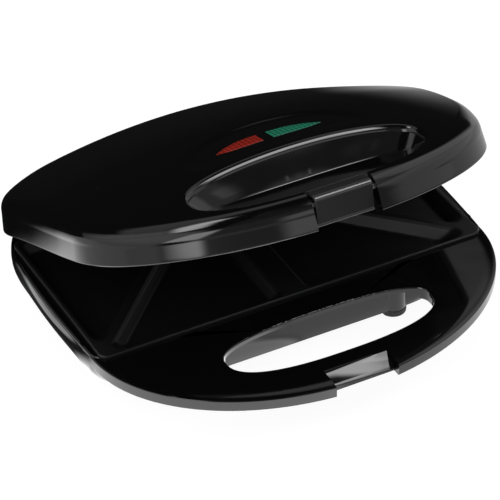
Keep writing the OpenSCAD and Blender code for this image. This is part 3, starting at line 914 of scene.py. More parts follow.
@dataclass
class Base:
    """Lower shell: belled body, flat front apron that is the handle, rear barrel round the hinge."""

    base_rear: float = 141.5
    base_h: float = 30.0
    split_z: float = -2.0
    apron_t: float = 7.5
    belly: float = 2.85
    wall: float = 2.2
    front: float = -1.0
    lean: float = 3.0
    axis: tuple[float, float] = (135.7, -3.0)
    barrel_r: float = 10.0
    deck_y: float = 113.2
    arm_x: float = 58.0
    arm_w: float = 12.0
    eye_r: float = 6.0
    pin_bore_r: float = 2.02
    slot_y: float = -31.3
    slot_x: float = 2.4
    apron_back_t: float = 3.0
    seat_x: float = 0.5
    ramp_run: float = 8.3
    foot_x: float = 60.0
    foot_r: float = 7.5
    foot_forward: float = 7.2
    post_r: float = 7.3
    gland_r: float = 5.5
    steps: tuple[tuple[float, float, float, float], ...] = (
        (10.5, -30.0, 0.0, 1.0), (6.5, -26.5, 0.0, 0.8), (3.0, -21.0, 0.0, 0.5),
        (0.4, -14.0, 0.6, 0.15), (-0.3, -8.0, 1.0, 0.0), (0.0, -2.0, 0.5, 0.0))

    def outline(self, inset: float, out: float, tuck: float, gap: float = 0.0) -> Array:
        """Body's outline at one height.

        The front corners sweep as x = f + (w - f) sin a, y = front + deep (1 - cos a); the sides bulge
        by out sin(180 t); the rear corners are circles.

        Args:
            inset: how far it is drawn in.
            out: how far the sides bulge.
            tuck: how far the front corners are cut back, 0 to 1.
            gap: extra wall thickness to draw it in by.

        Returns:
            (n, 2) points, counter-clockwise from the front left corner.
        """
        w = PLAN.half_w - inset - gap
        flat_w, deep, front = 106 - 41 * tuck, 12 + 15 * tuck, self.front + gap
        back, r = self.base_rear - inset - gap, PLAN.corner_r
        a = np.radians(np.linspace(0, 80, 14))
        sweep = np.column_stack([flat_w + (w - flat_w) * np.sin(a), front + (deep - gap) * (1 - np.cos(a))])
        x = np.linspace(-flat_w, flat_w, 42)[1:-1]
        across = np.column_stack([x, np.full_like(x, front)])
        t, start = np.linspace(0, 1, 26)[1:-1], self.front + deep
        side = np.column_stack([w + out * np.sin(math.pi * t), start + t * (back - r - start)])
        quarter = arc((w - r, back - r), r, 0, 90, 18)
        x = np.linspace(w - r, r - w, 32)[1:-1]
        rear = np.column_stack([x, np.full_like(x, back)])
        return np.vstack([sweep[::-1] * FLIP, across, sweep, side, quarter, rear, quarter[::-1] * FLIP,
                          side[::-1] * FLIP])

    def profile(self, count: int = 44) -> Array:
        """Smooth side profile: inset, height, belly and tuck through the six steps.

        A Catmull-Rom curve: each stretch is the cubic that meets its ends with slopes of half the
        difference of their neighbours.

        Args:
            count: number of levels.

        Returns:
            (count, 4) rows from the floor up.
        """
        knots = np.array(self.steps)
        padded = np.vstack([2 * knots[0] - knots[1], knots, 2 * knots[-1] - knots[-2]])
        at = np.linspace(0, len(knots) - 1, count)
        k = np.minimum(at.astype(int), len(knots) - 2)
        u = (at - k)[:, None]
        p0, p1, p2, p3 = (padded[k + i] for i in range(4))
        return 0.5 * (2 * p1 + (p2 - p0) * u + (2 * p0 - 5 * p1 + 4 * p2 - p3) * u ** 2
                      + (3 * p1 - p0 - 3 * p2 + p3) * u ** 3)

    def body_skin(self) -> Skin:
        """Hollow body: outer levels with rounded rims, then inner levels back down to the floor.

        The front wall leans forward by lean s(z) s(y), with two smooth steps that grow downwards and
        forwards.

        Returns:
            The closed skin of the walls and the floor.
        """
        levels = self.profile()
        rows = [(levels[0, 0] + face, 0.6 * side - self.base_h, 0.0, 1.0, 0.0)
                for side, face in rim(1.2, 0, 30, 60, 85)]
        rows += [(*row, 0.0) for row in levels if -self.base_h + 1.4 < row[1] < self.split_z - 1.3]
        rows += [(side, self.split_z - face, 0.5, 0.0, 0.0) for side, face in rim(1.2, 0, 22, 45, 67, 90)]
        rows.append((0.0, self.split_z, 0.5, 0.0, self.wall))
        inner = levels[(levels[:, 1] < self.split_z - 2) & (levels[:, 1] > -26)][::-4]
        rows += [(*row, self.wall) for row in inner]
        rows.append((6.5, self.wall - self.base_h, 0.0, 0.8, self.wall))
        rings = []
        for inset, z, out, tuck, gap in rows:
            line = self.outline(inset, self.belly * out, tuck, gap)
            line[:, 1] -= self.lean * smooth((-12.0 - z) / 16.0) * smooth((24.0 - line[:, 1]) / 20.0)
            rings.append((line, z))
        return Skin.stacked(rings)

    def apron_skin(self) -> Skin:
        """Front apron: a ring between the plan's bow and the hand slot, with rounded rims.

        Rings run from the slot's upper rim across the top to the outer rim and back underneath. From
        7 mm inside the edge to 0.5 mm inside it the top falls by 0.8 s^2.2, and a ring between two
        others at share s is (1 - s) of the first + s of the second.

        Returns:
            The closed skin.
        """
        points, normal = PLAN.dense()
        keep = points[:, 1] < 24
        line = np.linspace(PLAN.half_w, -PLAN.half_w, 1200)
        outer = np.vstack([points[keep], np.column_stack([line, np.full_like(line, 24.0)])])
        outer_n = np.vstack([normal[keep], np.tile([0.0, 1.0], (len(line), 1))])
        slot = superellipse(61.4, self.slot_y, (15.2, 20.4), (2.5, 2.5)) + np.array([self.slot_x, 0.0])
        columns = Columns.chosen(outer, outer_n, slot, np.array([0.0, self.slot_y]), 420, inset=0.17)
        top, low = self.split_z, self.split_z - self.apron_t
        crowned, drop, edge = 7.0, 0.8, 0.5
        rings = [(columns.slot(side), top - face) for side, face in rim(0.9, 0, 30, 60, 90)]
        rings += between(columns.slot(0.9), columns.out(crowned), 14, top)
        rings += [(columns.out(crowned - (crowned - edge) * s), top - drop * s ** 2.2)
                  for s in np.linspace(0, 1, 9)]
        rings += [(columns.out(side), top - drop - face) for side, face in rim(edge, 55, 25, 0)]
        rings += [(columns.out(side), low + face) for side, face in rim(0.9, 0, 30, 60, 90)]
        rings += between(columns.out(0.9), columns.slot(0.9), 8, low)
        rings += [(columns.slot(side), low + face) for side, face in rim(0.9, 90, 60, 30, 0)]
        return Skin.stacked(rings, closed=True)

    def seat_skin(self) -> Skin:
        """Cutter of the ramped seat that the clip swings into.

        A section carried across. Its ramp falls by r tan a over its run r, with a from 20 degrees on
        the left to 32 on the right, and it sags by 0.22 t (1 - t) of that fall between its ends.

        Returns:
            The closed skin.
        """
        rings = []
        for share in np.linspace(0, 1, 9):
            drop = self.ramp_run * math.tan(math.radians(20.0 + 12.0 * share))
            ramp = [(-62.4 - self.ramp_run * t, self.split_z - 0.05 - drop * (t + 0.22 * t * (1 - t)))
                    for t in np.linspace(0, 1, 8)]
            y, z = ramp[-1]
            section = [(-60.5, 1), (-60.5, -1.95), *ramp, (y - 0.45, z - 0.4), (y - 0.6, z - 0.9),
                       (y + 0.2, z - 1.3), (y + 0.2, -10.5), (-90, -10.5), (-90, 1)]
            x = (share - 0.5) * NOTCH_W + self.seat_x
            rings.append([(x, *point) for point in section])
        return Skin.of_rings(rings)

    def build(self, gloss: Material) -> None:
        """Builds and dresses the lower shell.

        Args:
            gloss: finish of the shell.
        """
        (y, z), top, half_w = self.axis, self.split_z, PLAN.half_w
        shell = Solid("lower_shell", self.body_skin(), AT_BASE)
        # The apron leaves the hollow of the body free and is thinner behind the hand slot.
        hollow = box_skin((5 - half_w, self.front + self.wall, -FAR), (half_w - 5, FAR, FAR))
        thin = box_skin((-64.0, -25.0, -FAR), (68.0, self.front - 1.5, top - self.apron_back_t))
        apron = Solid("apron", self.apron_skin(), AT_BASE).combine(Join.CUT, hollow, thin)
        barrel = shaft(self.barrel_r, (-FAR, FAR), (0, y, z), "x", count=96)
        deck = box_skin((-FAR, self.deck_y, top - self.wall), (FAR, y, top))
        inside = Skin.prism(self.outline(0.3, 0, 0), -self.base_h, 20)
        rear = Solid("rear", barrel, AT_BASE).combine(Join.UNION, deck).combine(Join.KEEP, inside)
        # Shelves carry the plate's rim at its sides, and a half-round post stands over each front foot.
        shelf = box_skin((113.4, 16, top - 5), (117.5, 104, top))
        post = Skin.prism(arc((self.foot_x, 0.9), self.post_r, 180, 360, 28), 0.1 - self.base_h, top - 1.6)
        shell.combine(Join.UNION, apron, rear, *shelf.both(), *post.both())
        plate_hole = Skin.prism(PLATE_ROOM, -2.6, 8)
        reach, back = self.arm_w / 2 + 0.4, y - self.eye_r - 1
        arm_gap = box_skin((self.arm_x - reach, back, z - self.eye_r - 1.5),
                           (self.arm_x + reach, PLAN.rear_y + 10, 30))
        bore = shaft(self.pin_bore_r, (self.arm_x - 12, self.arm_x + 12), (0, y, z), "x")
        cover = Skin.prism(rounded_box((-94.4, 17.6), (188.8, 90.8), 10.4), -FAR, 1.4 - self.base_h)
        floor = Skin.prism(rounded_box((-91, 21), (182, 84), 7), -FAR, self.wall + 1 - self.base_h)
        gland = shaft(self.gland_r, (self.base_rear - 20, self.base_rear + 10), (30, 0, -20.5), "y")
        shell.combine(Join.CUT, plate_hole, self.seat_skin(), *arm_gap.both(), *bore.both(), cover, floor,
                      gland)
        shell.finish(gloss, Body.BASE, "shell_black", "base_shell")

    def front_feet(self, rubber: Material) -> None:
        """Builds and dresses the front feet, drawn forward to show under the wall.

        Args:
            rubber: their finish.
        """
        outline = arc((self.foot_x, 8), self.foot_r, 0, 360 - 360 / 48, 48)
        outline[:, 1] -= self.foot_forward * smooth((8 - outline[:, 1]) / 3.0)
        pad = Skin.prism(outline, -self.base_h - 4, -self.base_h, 1.0, 0.4)
        pads = Solid("front_pads", pad, AT_BASE).combine(Join.UNION, pad.mirrored())
        pads.finish(rubber, Body.BASE, "rubber", "front_feet")


# ---------------------------------------------------------------- plates


@dataclass
class Plate:
    """Cast cooking plate: a thin rim round four triangular pockets, with studs underneath."""

    half_w: float = 115.0
    depth: float = 114.0
    leg: float = 103.5
    corner_r: float = 5.0
    rim_t: float = 2.5
    cast: float = 2.0
    wall_depth: float = 8.0
    deep: float = 10.0
    draft: float = 4.0
    edge: float = 2.5
    divider: float = 7.5
    stud_r: float = 4.0
    stud_low: float = -26.8
    studs: tuple[tuple[float, float], ...] = ((87, 30), (30, 87), (-87, 30), (-30, 87))

    @property
    def incentre(self) -> float:
        """Distance of the pocket's incentre from its short sides."""
        return self.leg * (1 - math.sqrt(0.5))

    def triangle(self, grow: float) -> Array:
        """Pocket's outline: a right isosceles triangle scaled about its incentre by 1 + grow / incentre.

        Args:
            grow: how far each side is moved out.

        Returns:
            (96, 2) points, counter-clockwise, with round corners.
        """
        r = self.corner_r
        far_in = self.leg - r * (1 + math.sqrt(2))
        outline = np.vstack([arc((r, r), r, 180, 270, 32), arc((far_in, r), r, 270, 405, 32),
                             arc((r, far_in), r, 45, 180, 32)])
        return self.incentre + (outline - self.incentre) * (1 + grow / self.incentre)

    def pocket_levels(self) -> list[tuple[float, float]]:
        """Rounded brim, sloping wall and rounded foot of a pocket.

        Returns:
            Growth and height of its rings from the top down.
        """
        slope, foot = self.draft / self.wall_depth, self.wall_depth - 1.8
        levels = [(face, -side) for side, face in rim(1.3, 0, 25, 50, 75)]
        levels += [(-slope * z, -z) for z in np.linspace(1.4, foot, 6)]
        levels += [(-slope * foot - 2.6 * u ** 1.6, -foot - 1.8 * math.sin(u * math.pi / 2))
                   for u in (0.25, 0.5, 0.75, 1.0)]
        return levels

    def pocket(self, thick: float) -> Skin:
        """Solid of one pocket's air, or of its casting when it is given a thickness.

        Args:
            thick: how far it is grown on all sides.

        Returns:
            The closed skin, in the pocket's own corner frame.
        """
        levels, floor = self.pocket_levels(), -self.deep - thick
        rings = [(self.triangle(levels[5][0] + thick), -1.2) if thick else (self.triangle(1.6), 1.0)]
        rings += [(self.triangle(g + thick), z - thick) for g, z in levels if not thick or z < -1.5]
        grow, foot = levels[-1]
        rings += [(self.incentre + (self.triangle(grow + thick) - self.incentre) * s,
                   floor + (self.deep + foot) * s ** 1.5) for s in (0.8, 0.55, 0.3, 0.12)]
        return Skin.stacked(rings, last=np.array([self.incentre, self.incentre, floor]))

    def places(self, skin: Skin) -> tuple[Skin, ...]:
        """Puts a pocket in its four places.

        Args:
            skin: the pocket in its own corner frame.

        Returns:
            The front right pocket, the rear right one, which is turned round, and their mirror images.
        """
        front = skin.moved(lambda p: p + np.array([self.divider, self.edge, 0.0]))
        rear = skin.moved(lambda p: p * [-1.0, -1.0, 1.0] + [self.half_w - 3, self.depth - 2, 0.0])
        return front, rear, front.mirrored(), rear.mirrored()

    def build(self, name: str, coating: Material, body: Body, replaced: str) -> None:
        """Builds and dresses one plate; the lid's hangs upside down with its rim above the lid's rim.

        Args:
            name: the piece's name.
            coating: its finish.
            body: the body that it rides on.
            replaced: the CAD node that it stands for.
        """
        over = body is Body.LID

        def put(*skins: Skin) -> list[Skin]:
            """Turns skins over for the lid."""
            return [s.moved(lambda p: p * [1, 1, -1] + [0, 0, 1.95]) if over else s for s in skins]

        sheet = Skin.prism(rounded_box((-self.half_w, 0), (2 * self.half_w, self.depth), 5), -self.rim_t, 0,
                           0.3, 0.9)
        studs = [shaft(self.stud_r, (self.stud_low, -2), (*at, 0), "z", 0.4) for at in self.studs]
        plate = Solid(name, *put(sheet), AT_LID if over else AT_BASE)
        plate.combine(Join.UNION, *put(*self.places(self.pocket(self.cast)), *studs))
        plate.combine(Join.CUT, *put(*self.places(self.pocket(0))))
        plate.finish(coating, body, "nonstick", replaced, crease=35)


# ---------------------------------------------------------------- lid


def level(line: Callable[..., Array], z: Array | float, *more: float) -> tuple[Array, Array | float]:
    """A wall's outline at a height, with that height."""
    return line(z, *more), z


@dataclass
class Lid:
    """Upper shell: a side band below a crease and a crowned cover, round a hand slot."""

    band_h: float = 14.5
    crown_h: float = 39.0
    crown_y: float = 43.0
    skin: float = 2.4
    lip: float = 1.2
    recess: float = 1.5
    recess_reach: tuple[float, float] = (52.0, 28.0)
    draft: float = 0.13
    axis: tuple[float, float] = (135.7, -1.3)
    arm_x: float = 58.0
    arm_r: float = 6.0
    trough_r: float = 10.5
    slot_y: float = -36.0
    pin_bore_r: float = 2.06
    clip_bore_r: float = 1.42
    screw_r: float = 3.1
    screws: tuple[tuple[float, float], ...] = ((92, -28), (100, 119.9), (-92, -28), (-100, 119.9))

    def crown(self, p: Array) -> Array:
        """Height of the cover above the lid's rim.

        h - 16.7 |x / w|^1.97 - 30 ((43 - y) / 140)^1.8 in front of y = 43, and behind it
        - 7.2 ((t^2 + 0.0625)^0.6 - 0.0625^0.6) with t = (y - 43) / 70.

        Args:
            p: (n, 2) places.

        Returns:
            Their heights.
        """
        fore = np.maximum(self.crown_y - p[:, 1], 0) / 140
        back = np.maximum(p[:, 1] - self.crown_y, 0) / 70
        fall = 30 * fore ** 1.8 + 7.2 * ((back ** 2 + 0.0625) ** 0.6 - 0.0625 ** 0.6)
        return self.crown_h - 16.7 * (np.abs(p[:, 0]) / PLAN.half_w) ** 1.97 - fall

    def sunk(self, p: Array) -> Array:
        """Depth of the recess round the lights: full behind and fading out towards the slot."""
        return self.recess * smooth((p[:, 1] + 15) / 16)

    def floor(self, p: Array) -> Array:
        """Height of the recess's floor."""
        return self.crown(p) - self.sunk(p)

    @cached_property
    def columns(self) -> Columns:
        """Columns shared by all of the lid's rings; the sides bow out by 1.1, and 1.3 more near y = 110.

        Returns:
            The shell's outline and the slot's upper one.
        """
        points, normal = PLAN.dense()
        y = points[:, 1]
        bow = 1.1 * smooth((y + 10) / 40) + 1.3 * np.exp(-((y - 110) / 24) ** 2)
        points = points + normal * (bow * np.abs(normal[:, 0]) * smooth((150 - y) / 30))[:, None]
        slot = superellipse(66.4, self.slot_y, (17.4, 30.6), (3.2, 2.0))
        return Columns.chosen(points, normal, slot, np.array([0.0, self.slot_y]), 620)

    @cached_property
    def below(self) -> Array:
        """The slot's outline at the seam in the same columns: it narrows downwards."""
        slot = superellipse(61.5, self.slot_y, (12.6, 30.6), (2.6, 2.0))
        return by_bearing(slot, np.array([0.0, self.slot_y]), self.columns.bearings)

    @cached_property
    def brim_r(self) -> Array:
        """Radius of the slot's brim in each column: full behind, small along the bar in front."""
        return 1.1 + 2.3 * smooth((self.columns.inner[:, 1] + 64) / 26)

    @cached_property
    def shoulder(self) -> tuple[Array, Array]:
        """Each column's shoulder, widest before the front corners and narrow along the sides and the rear.

        Returns:
            How far it comes in to the crown, and the height where it begins.
        """
        normal = self.columns.outer_n
        turn = np.degrees(np.arctan2(np.abs(normal[:, 0]), -normal[:, 1]))
        width = np.interp(turn, [0, 14, 24, 34, 50, 66, 80, 95, 120, 180],
                          [8.4, 8.4, 9.6, 12.4, 13.4, 11.6, 8.6, 7.0, 5.0, 4.6])
        return width, np.interp(turn, [0, 40, 90, 130, 180], [8.5, 9.5, 10.5, 12.5, 13.0])

    def side(self, z: Array | float, extra: float = 0.0) -> Array:
        """Outer wall's points at a height: drafted below the shoulder and turned in over it.

        Above its start the shoulder comes in by (1 - sqrt(1 - (k s)^2)) / (1 - sqrt(1 - k^2)) of its
        width, with s the share of its height and k = 0.97, which leaves a soft crease at the crown.

        Args:
            z: height of each column, or of all.
            extra: thickness taken off.

        Returns:
            (columns, 2) points.
        """
        width, start = self.shoulder
        top = self.crown(self.columns.out(width))
        share, k = np.clip((z - start) / (top - start), 0, 1), 0.97
        turn = (1 - np.sqrt(1 - (k * share) ** 2)) / (1 - math.sqrt(1 - k * k))
        low = self.draft * np.minimum(z, start)
        return self.columns.out(extra + low + (width - self.draft * start) * turn)

    def wall(self, z: Array | float, grow: float = 0.0) -> Array:
        """Slot's wall at a height: it leans in down to the seam, most behind and at its ends.

        Args:
            z: height of each column, or of all.
            grow: how far the slot is grown.

        Returns:
            (columns, 2) points.
        """
        columns = self.columns
        brim = self.crown(columns.inner) - self.brim_r
        share = np.clip((brim - z) / (brim - self.band_h), 0, 1)[:, None]
        return columns.inner * (1 - share) + self.below * share + columns.inner_n * grow

    def cover_skin(self) -> Skin:
        """Cover: up the slot's wall, over its brim, across the crown, down the shoulder and back inside.

        The brim at angle a moves out by r (1 - cos a) and lies r (1 - sin a) below the crown. The
        ceiling inside runs from the outer wall to the slot's; along the narrow bar in front it starts
        midway between them.

        Returns:
            The closed skin.
        """
        columns, band, r, skin = self.columns, self.band_h, self.brim_r, self.skin
        width, _ = self.shoulder
        begin, stop, finish = columns.slot(r), columns.out(width), columns.slot(skin * 0.9)
        brim, top = self.crown(columns.inner) - r, self.crown(stop)

        def crowned(p: Array, down: Array | float = 0.0) -> tuple[Array, Array]:
            """Points on the crown, or some way below it."""
            return p, self.crown(p) - down

        rings = [level(self.wall, band, 0.2)]
        rings += [level(self.wall, band + (brim - band) * u) for u in (0.04, 0.3, 0.65)]
        rings += [crowned(columns.slot(r * side), r * face)
                  for side, face in rim(1.0, *np.linspace(0, 90, 11))]
        shares = 1 - (1 - np.linspace(0, 1, 50)[1:]) ** 1.25
        rings += [crowned(begin * (1 - s) + stop * s) for s in shares]
        turns, low = np.concatenate([[0.985, 0.96], np.linspace(0.92, 0.03, 18)]), band + 0.1
        rings += [level(self.side, low + (top - low) * s) for s in np.sqrt(1 - (1 - turns) ** 2)]
        rings += [level(self.side, band + 0.04), level(self.side, band, 0.12), level(self.side, band, skin)]
        rings += [level(self.side, band + (top - skin - band) * s, skin) for s in (0.5, 0.85)]
        narrow = (width < 9) & (np.abs(columns.outer_n[:, 0]) < 0.6) & (columns.outer[:, 1] < 0)
        midway = (self.side(top - skin, skin) + columns.slot(skin)) / 2
        far = np.where(narrow[:, None], midway, columns.out(width + skin))
        rings += [crowned(far * (1 - s) + finish * s, skin) for s in np.linspace(0, 1, 9)]
        return Skin.stacked([*rings, (finish, band)], closed=True)

    def band_skin(self) -> Skin:
        """Band: up its outside to the seam, across, down the slot's wall and back under.

        Returns:
            The closed skin.
        """
        band, lip, under = self.band_h, self.lip, 1.4
        rings = [level(self.side, face, side) for side, face in rim(lip, 90, 70, 50, 30, 12)]
        heights = (*np.linspace(lip, 8.0, 6), *np.linspace(8.6, band - 0.3, 14), band - 0.04)
        rings += [level(self.side, z) for z in heights]
        rings += [level(self.side, band, 0.12), level(self.side, band, 2.6)]
        rings += [level(self.wall, band, 2.0), level(self.wall, band, 0.2)]
        rings += [level(self.wall, z) for z in (band - 0.3, band * 0.75, band * 0.5, band * 0.25)]
        rings += [level(self.wall, face, side) for side, face in rim(under, 0, 30, 60, 90)]
        rings += between(self.wall(0.0, under), self.side(0.0, lip), 5, 0.0)
        return Skin.stacked(rings, closed=True)

    def recess_skin(self) -> Skin:
        """Cutter of the shallow recess round the lights: an ellipse whose floor follows the crown.

        Returns:
            The closed skin.
        """
        a = np.arange(160) / 160 * TAU
        oval = np.column_stack([np.cos(a), np.sin(a)]) * self.recess_reach

        def ring(reach: float, rise: float) -> tuple[Array, Array]:
            """The oval at a share of its reach, raised from the floor by a share of the depth."""
            deep = self.sunk(oval * reach)
            return oval * reach, self.floor(oval * reach) + deep * rise + np.where(deep < 0.02, 0.3, 0.0)

        rings = [ring(s, 0.0) for s in (0.15, 0.35, 0.55, 0.72, 0.84)]
        rings += [ring(0.84 + 0.2 * t, smooth(t)) for t in np.linspace(0, 1, 13)[1:]]
        rings += [ring(1.05, 1.3), (oval * 1.05, 60.0)]
        return Skin.stacked(rings, first=np.array([0.0, 0.0, self.floor(np.zeros((1, 2)))[0]]))

    def build(self, gloss: Material) -> None:
        """Builds and dresses the cover and the band.

        Args:
            gloss: finish of both.
        """
        half, (y, z), r, lights = NOTCH_W / 2, self.axis, self.arm_r, Lights(self)
        notch = [box_skin((-half, -90, -1), (half, -68, 40)), box_skin((-half, -90, 7), (half, -60, 40))]
        cover = Solid("lid_top", self.cover_skin(), AT_LID)
        cover.combine(Join.CUT, self.recess_skin(), *notch, lights.hole(-1), lights.hole(1))
        cover.finish(gloss, Body.LID, "shell_black", "lid_cover", crease=28)

        band = Solid("lid_band", self.band_skin(), AT_LID)
        band.combine(Join.CUT, shaft(self.trough_r, (-FAR, FAR), (0, y, z), "x", count=96))
        arms = []
        for x in (-self.arm_x, self.arm_x):
            arms += [shaft(r, (x - r, x + r), (0, y, z), "x", 0.4),
                     box_skin((x - r, y - 5, z), (x + r, y + 5, z + self.trough_r + 0.8))]
        band.combine(Join.UNION, *arms, box_skin((-25, -68, 0), (25, -64.8, 7)))
        opening = Skin.prism(PLATE_ROOM, -5, 4.45)
        inner = Skin.prism(rounded_box((-113.8, 1.2), (227.6, 111.6), 3.8), -5, 30)
        pins = shaft(self.pin_bore_r, (-FAR, FAR), (0, y, z), "x")
        clip_bore = shaft(self.clip_bore_r, (-half - 3, half + 3), (0, *CLIP_PIN), "x")
        screws = [shaft(self.screw_r, (-1, 1.4), (*at, 0), "z") for at in self.screws]
        band.combine(Join.CUT, opening, inner, *notch, pins, clip_bore, *screws)
        band.finish(gloss, Body.LID, "shell_black", "lid_frame", crease=28)


@dataclass
class Lights:
    """Two leaf-shaped light windows in the recess of the cover."""

    lid: Lid
    x: float = -1.0
    y: float = 0.5
    gap: tuple[float, float] = (4.2, 1.8)
    length: tuple[float, float] = (26.8, 29.2)
    width: float = 10.0

    def leaf(self, side: int, grow: float) -> Array:
        """Outline of one window.

        Its upper edge is w (1 - 0.7 u^2.6) and its lower edge 0.3 w u^3 over its length u.

        Args:
            side: -1 for the left window, 1 for the right.
            grow: how far it is grown.

        Returns:
            (80, 2) points, counter-clockwise.
        """
        gap, length = self.gap[side > 0], self.length[side > 0]
        u = np.linspace(0, 1, 40)
        low = np.column_stack([u * length, self.width * 0.3 * u ** 3 - grow])
        high = np.column_stack([u * length, self.width * (1 - 0.7 * u ** 2.6) + grow])
        outline = np.vstack([low, high[::-1]])
        outline[:, 0] += np.where(outline[:, 0] > length / 2, grow, -grow)
        return (outline * [side, 1] + [self.x + side * gap, self.y])[::side]

    def hole(self, side: int) -> Skin:
        """Cutter of one window's hole."""
        return Skin.prism(self.leaf(side, 0.15), 0, 60)

    def lens(self, side: int) -> Skin:
        """Window's body: its top follows the recess and swells to the middle.

        Rings draw in to the middle by a share s, and lie 0.22 + 0.3 (1 - s^2) above the recess's floor.

        Args:
            side: -1 or 1.

        Returns:
            The closed skin.
        """
        outline, floor = self.leaf(side, 0.0), self.lid.floor
        reach = self.gap[side > 0] + self.length[side > 0] * 0.4
        centre = np.array([self.x + side * reach, self.y + self.width / 2])
        rings = [(outline, floor(outline) - 3.0), (outline, floor(outline) + 0.1)]
        for s in (0.985, 0.95, 0.85, 0.7, 0.5, 0.3, 0.12):
            p = centre + (outline - centre) * s
            rings.append((p, floor(p) + 0.22 + 0.3 * (1 - s * s)))
        return Skin.stacked(rings)

    def build(self, red: Material, green: Material) -> None:
        """Builds and dresses both windows.

        Args:
            red: finish of the left one.
            green: finish of the right one.
        """
        for side, name, node, tint in ((-1, "red_window", "red_lens", red),
                                       (1, "green_window", "green_lens", green)):
            Solid(name, self.lens(side), AT_LID).finish(tint, Body.LID, node, node)


@dataclass
class Clip:
    """Swinging latch: a bent plate that caps the bar, a bead on its foot and cheeks on the pin."""

    half_w: float = 16.5
    cheek_r: float = 3.7
    cheek_t: float = 3.0
    bead_r: float = 1.1
    bore_r: float = 1.46
    section: tuple[tuple[float, float], ...] = (
        (-63.8, 17.0), (-64.2, 18.4), (-65.0, 18.7), (-70.4, 18.0), (-72.4, 17.2), (-73.5, 16.0),
        (-73.8, 14.6), (-70.9, 1.6), (-69.0, 1.6), (-71.8, 14.2), (-71.3, 15.3), (-70.2, 16.0),
        (-65.0, 16.7))

    def plate(self) -> Skin:
        """Plate's skin: the section carried across, drawn in towards its own edge at both ends.

        Its corners are rounded by six rounds in which each point moves to a quarter of each neighbour
        and half of itself.

        Returns:
            The closed skin.
        """
        outline = resampled(np.array(self.section), 260)
        for _ in range(6):
            outline = (np.roll(outline, 1, axis=0) + 2 * outline + np.roll(outline, -1, axis=0)) / 4
        section = resampled(outline, 120)
        normal = normals_of(section)
        return Skin.of_rings([np.column_stack([np.full(len(section), x), section - normal * inset])
                              for inset, x in rim_levels(-self.half_w, self.half_w, 0.5, 0.5, 4)])

    def build(self, gloss: Material) -> None:
        """Builds and dresses the clip.

        Args:
            gloss: its finish.
        """
        half, pin = self.half_w, (0, *CLIP_PIN)
        clip = Solid("clip", self.plate(), AT_LID)
        cheeks = [shaft(self.cheek_r, ends, pin, "x", 0.4)
                  for ends in ((half - self.cheek_t, half), (-half, self.cheek_t - half))]
        bead = shaft(self.bead_r, (0.2 - half, half - 0.2), (0, -70, 1.6), "x", 0.4)
        clip.combine(Join.UNION, *cheeks, bead)
        clip.combine(Join.CUT, shaft(self.bore_r, (-FAR, FAR), pin, "x"))
        clip.finish(gloss, Body.CLIP, "shell_black", "latch_clip")


# ---------------------------------------------------------------- nodes that keep their own mesh


def dress_nodes(finishes: dict[str, Material]) -> None:
    """Gives each CAD node that stays its finish.

    Args:
        finishes: material for each node name.
    """
    for name, material in finishes.items():
        node = frame["nodes"][name]
        node.data.materials.clear()
        node.data.materials.append(material)
        log.info("%s: own mesh, %s", name, material.name)


# ---------------------------------------------------------------- studio


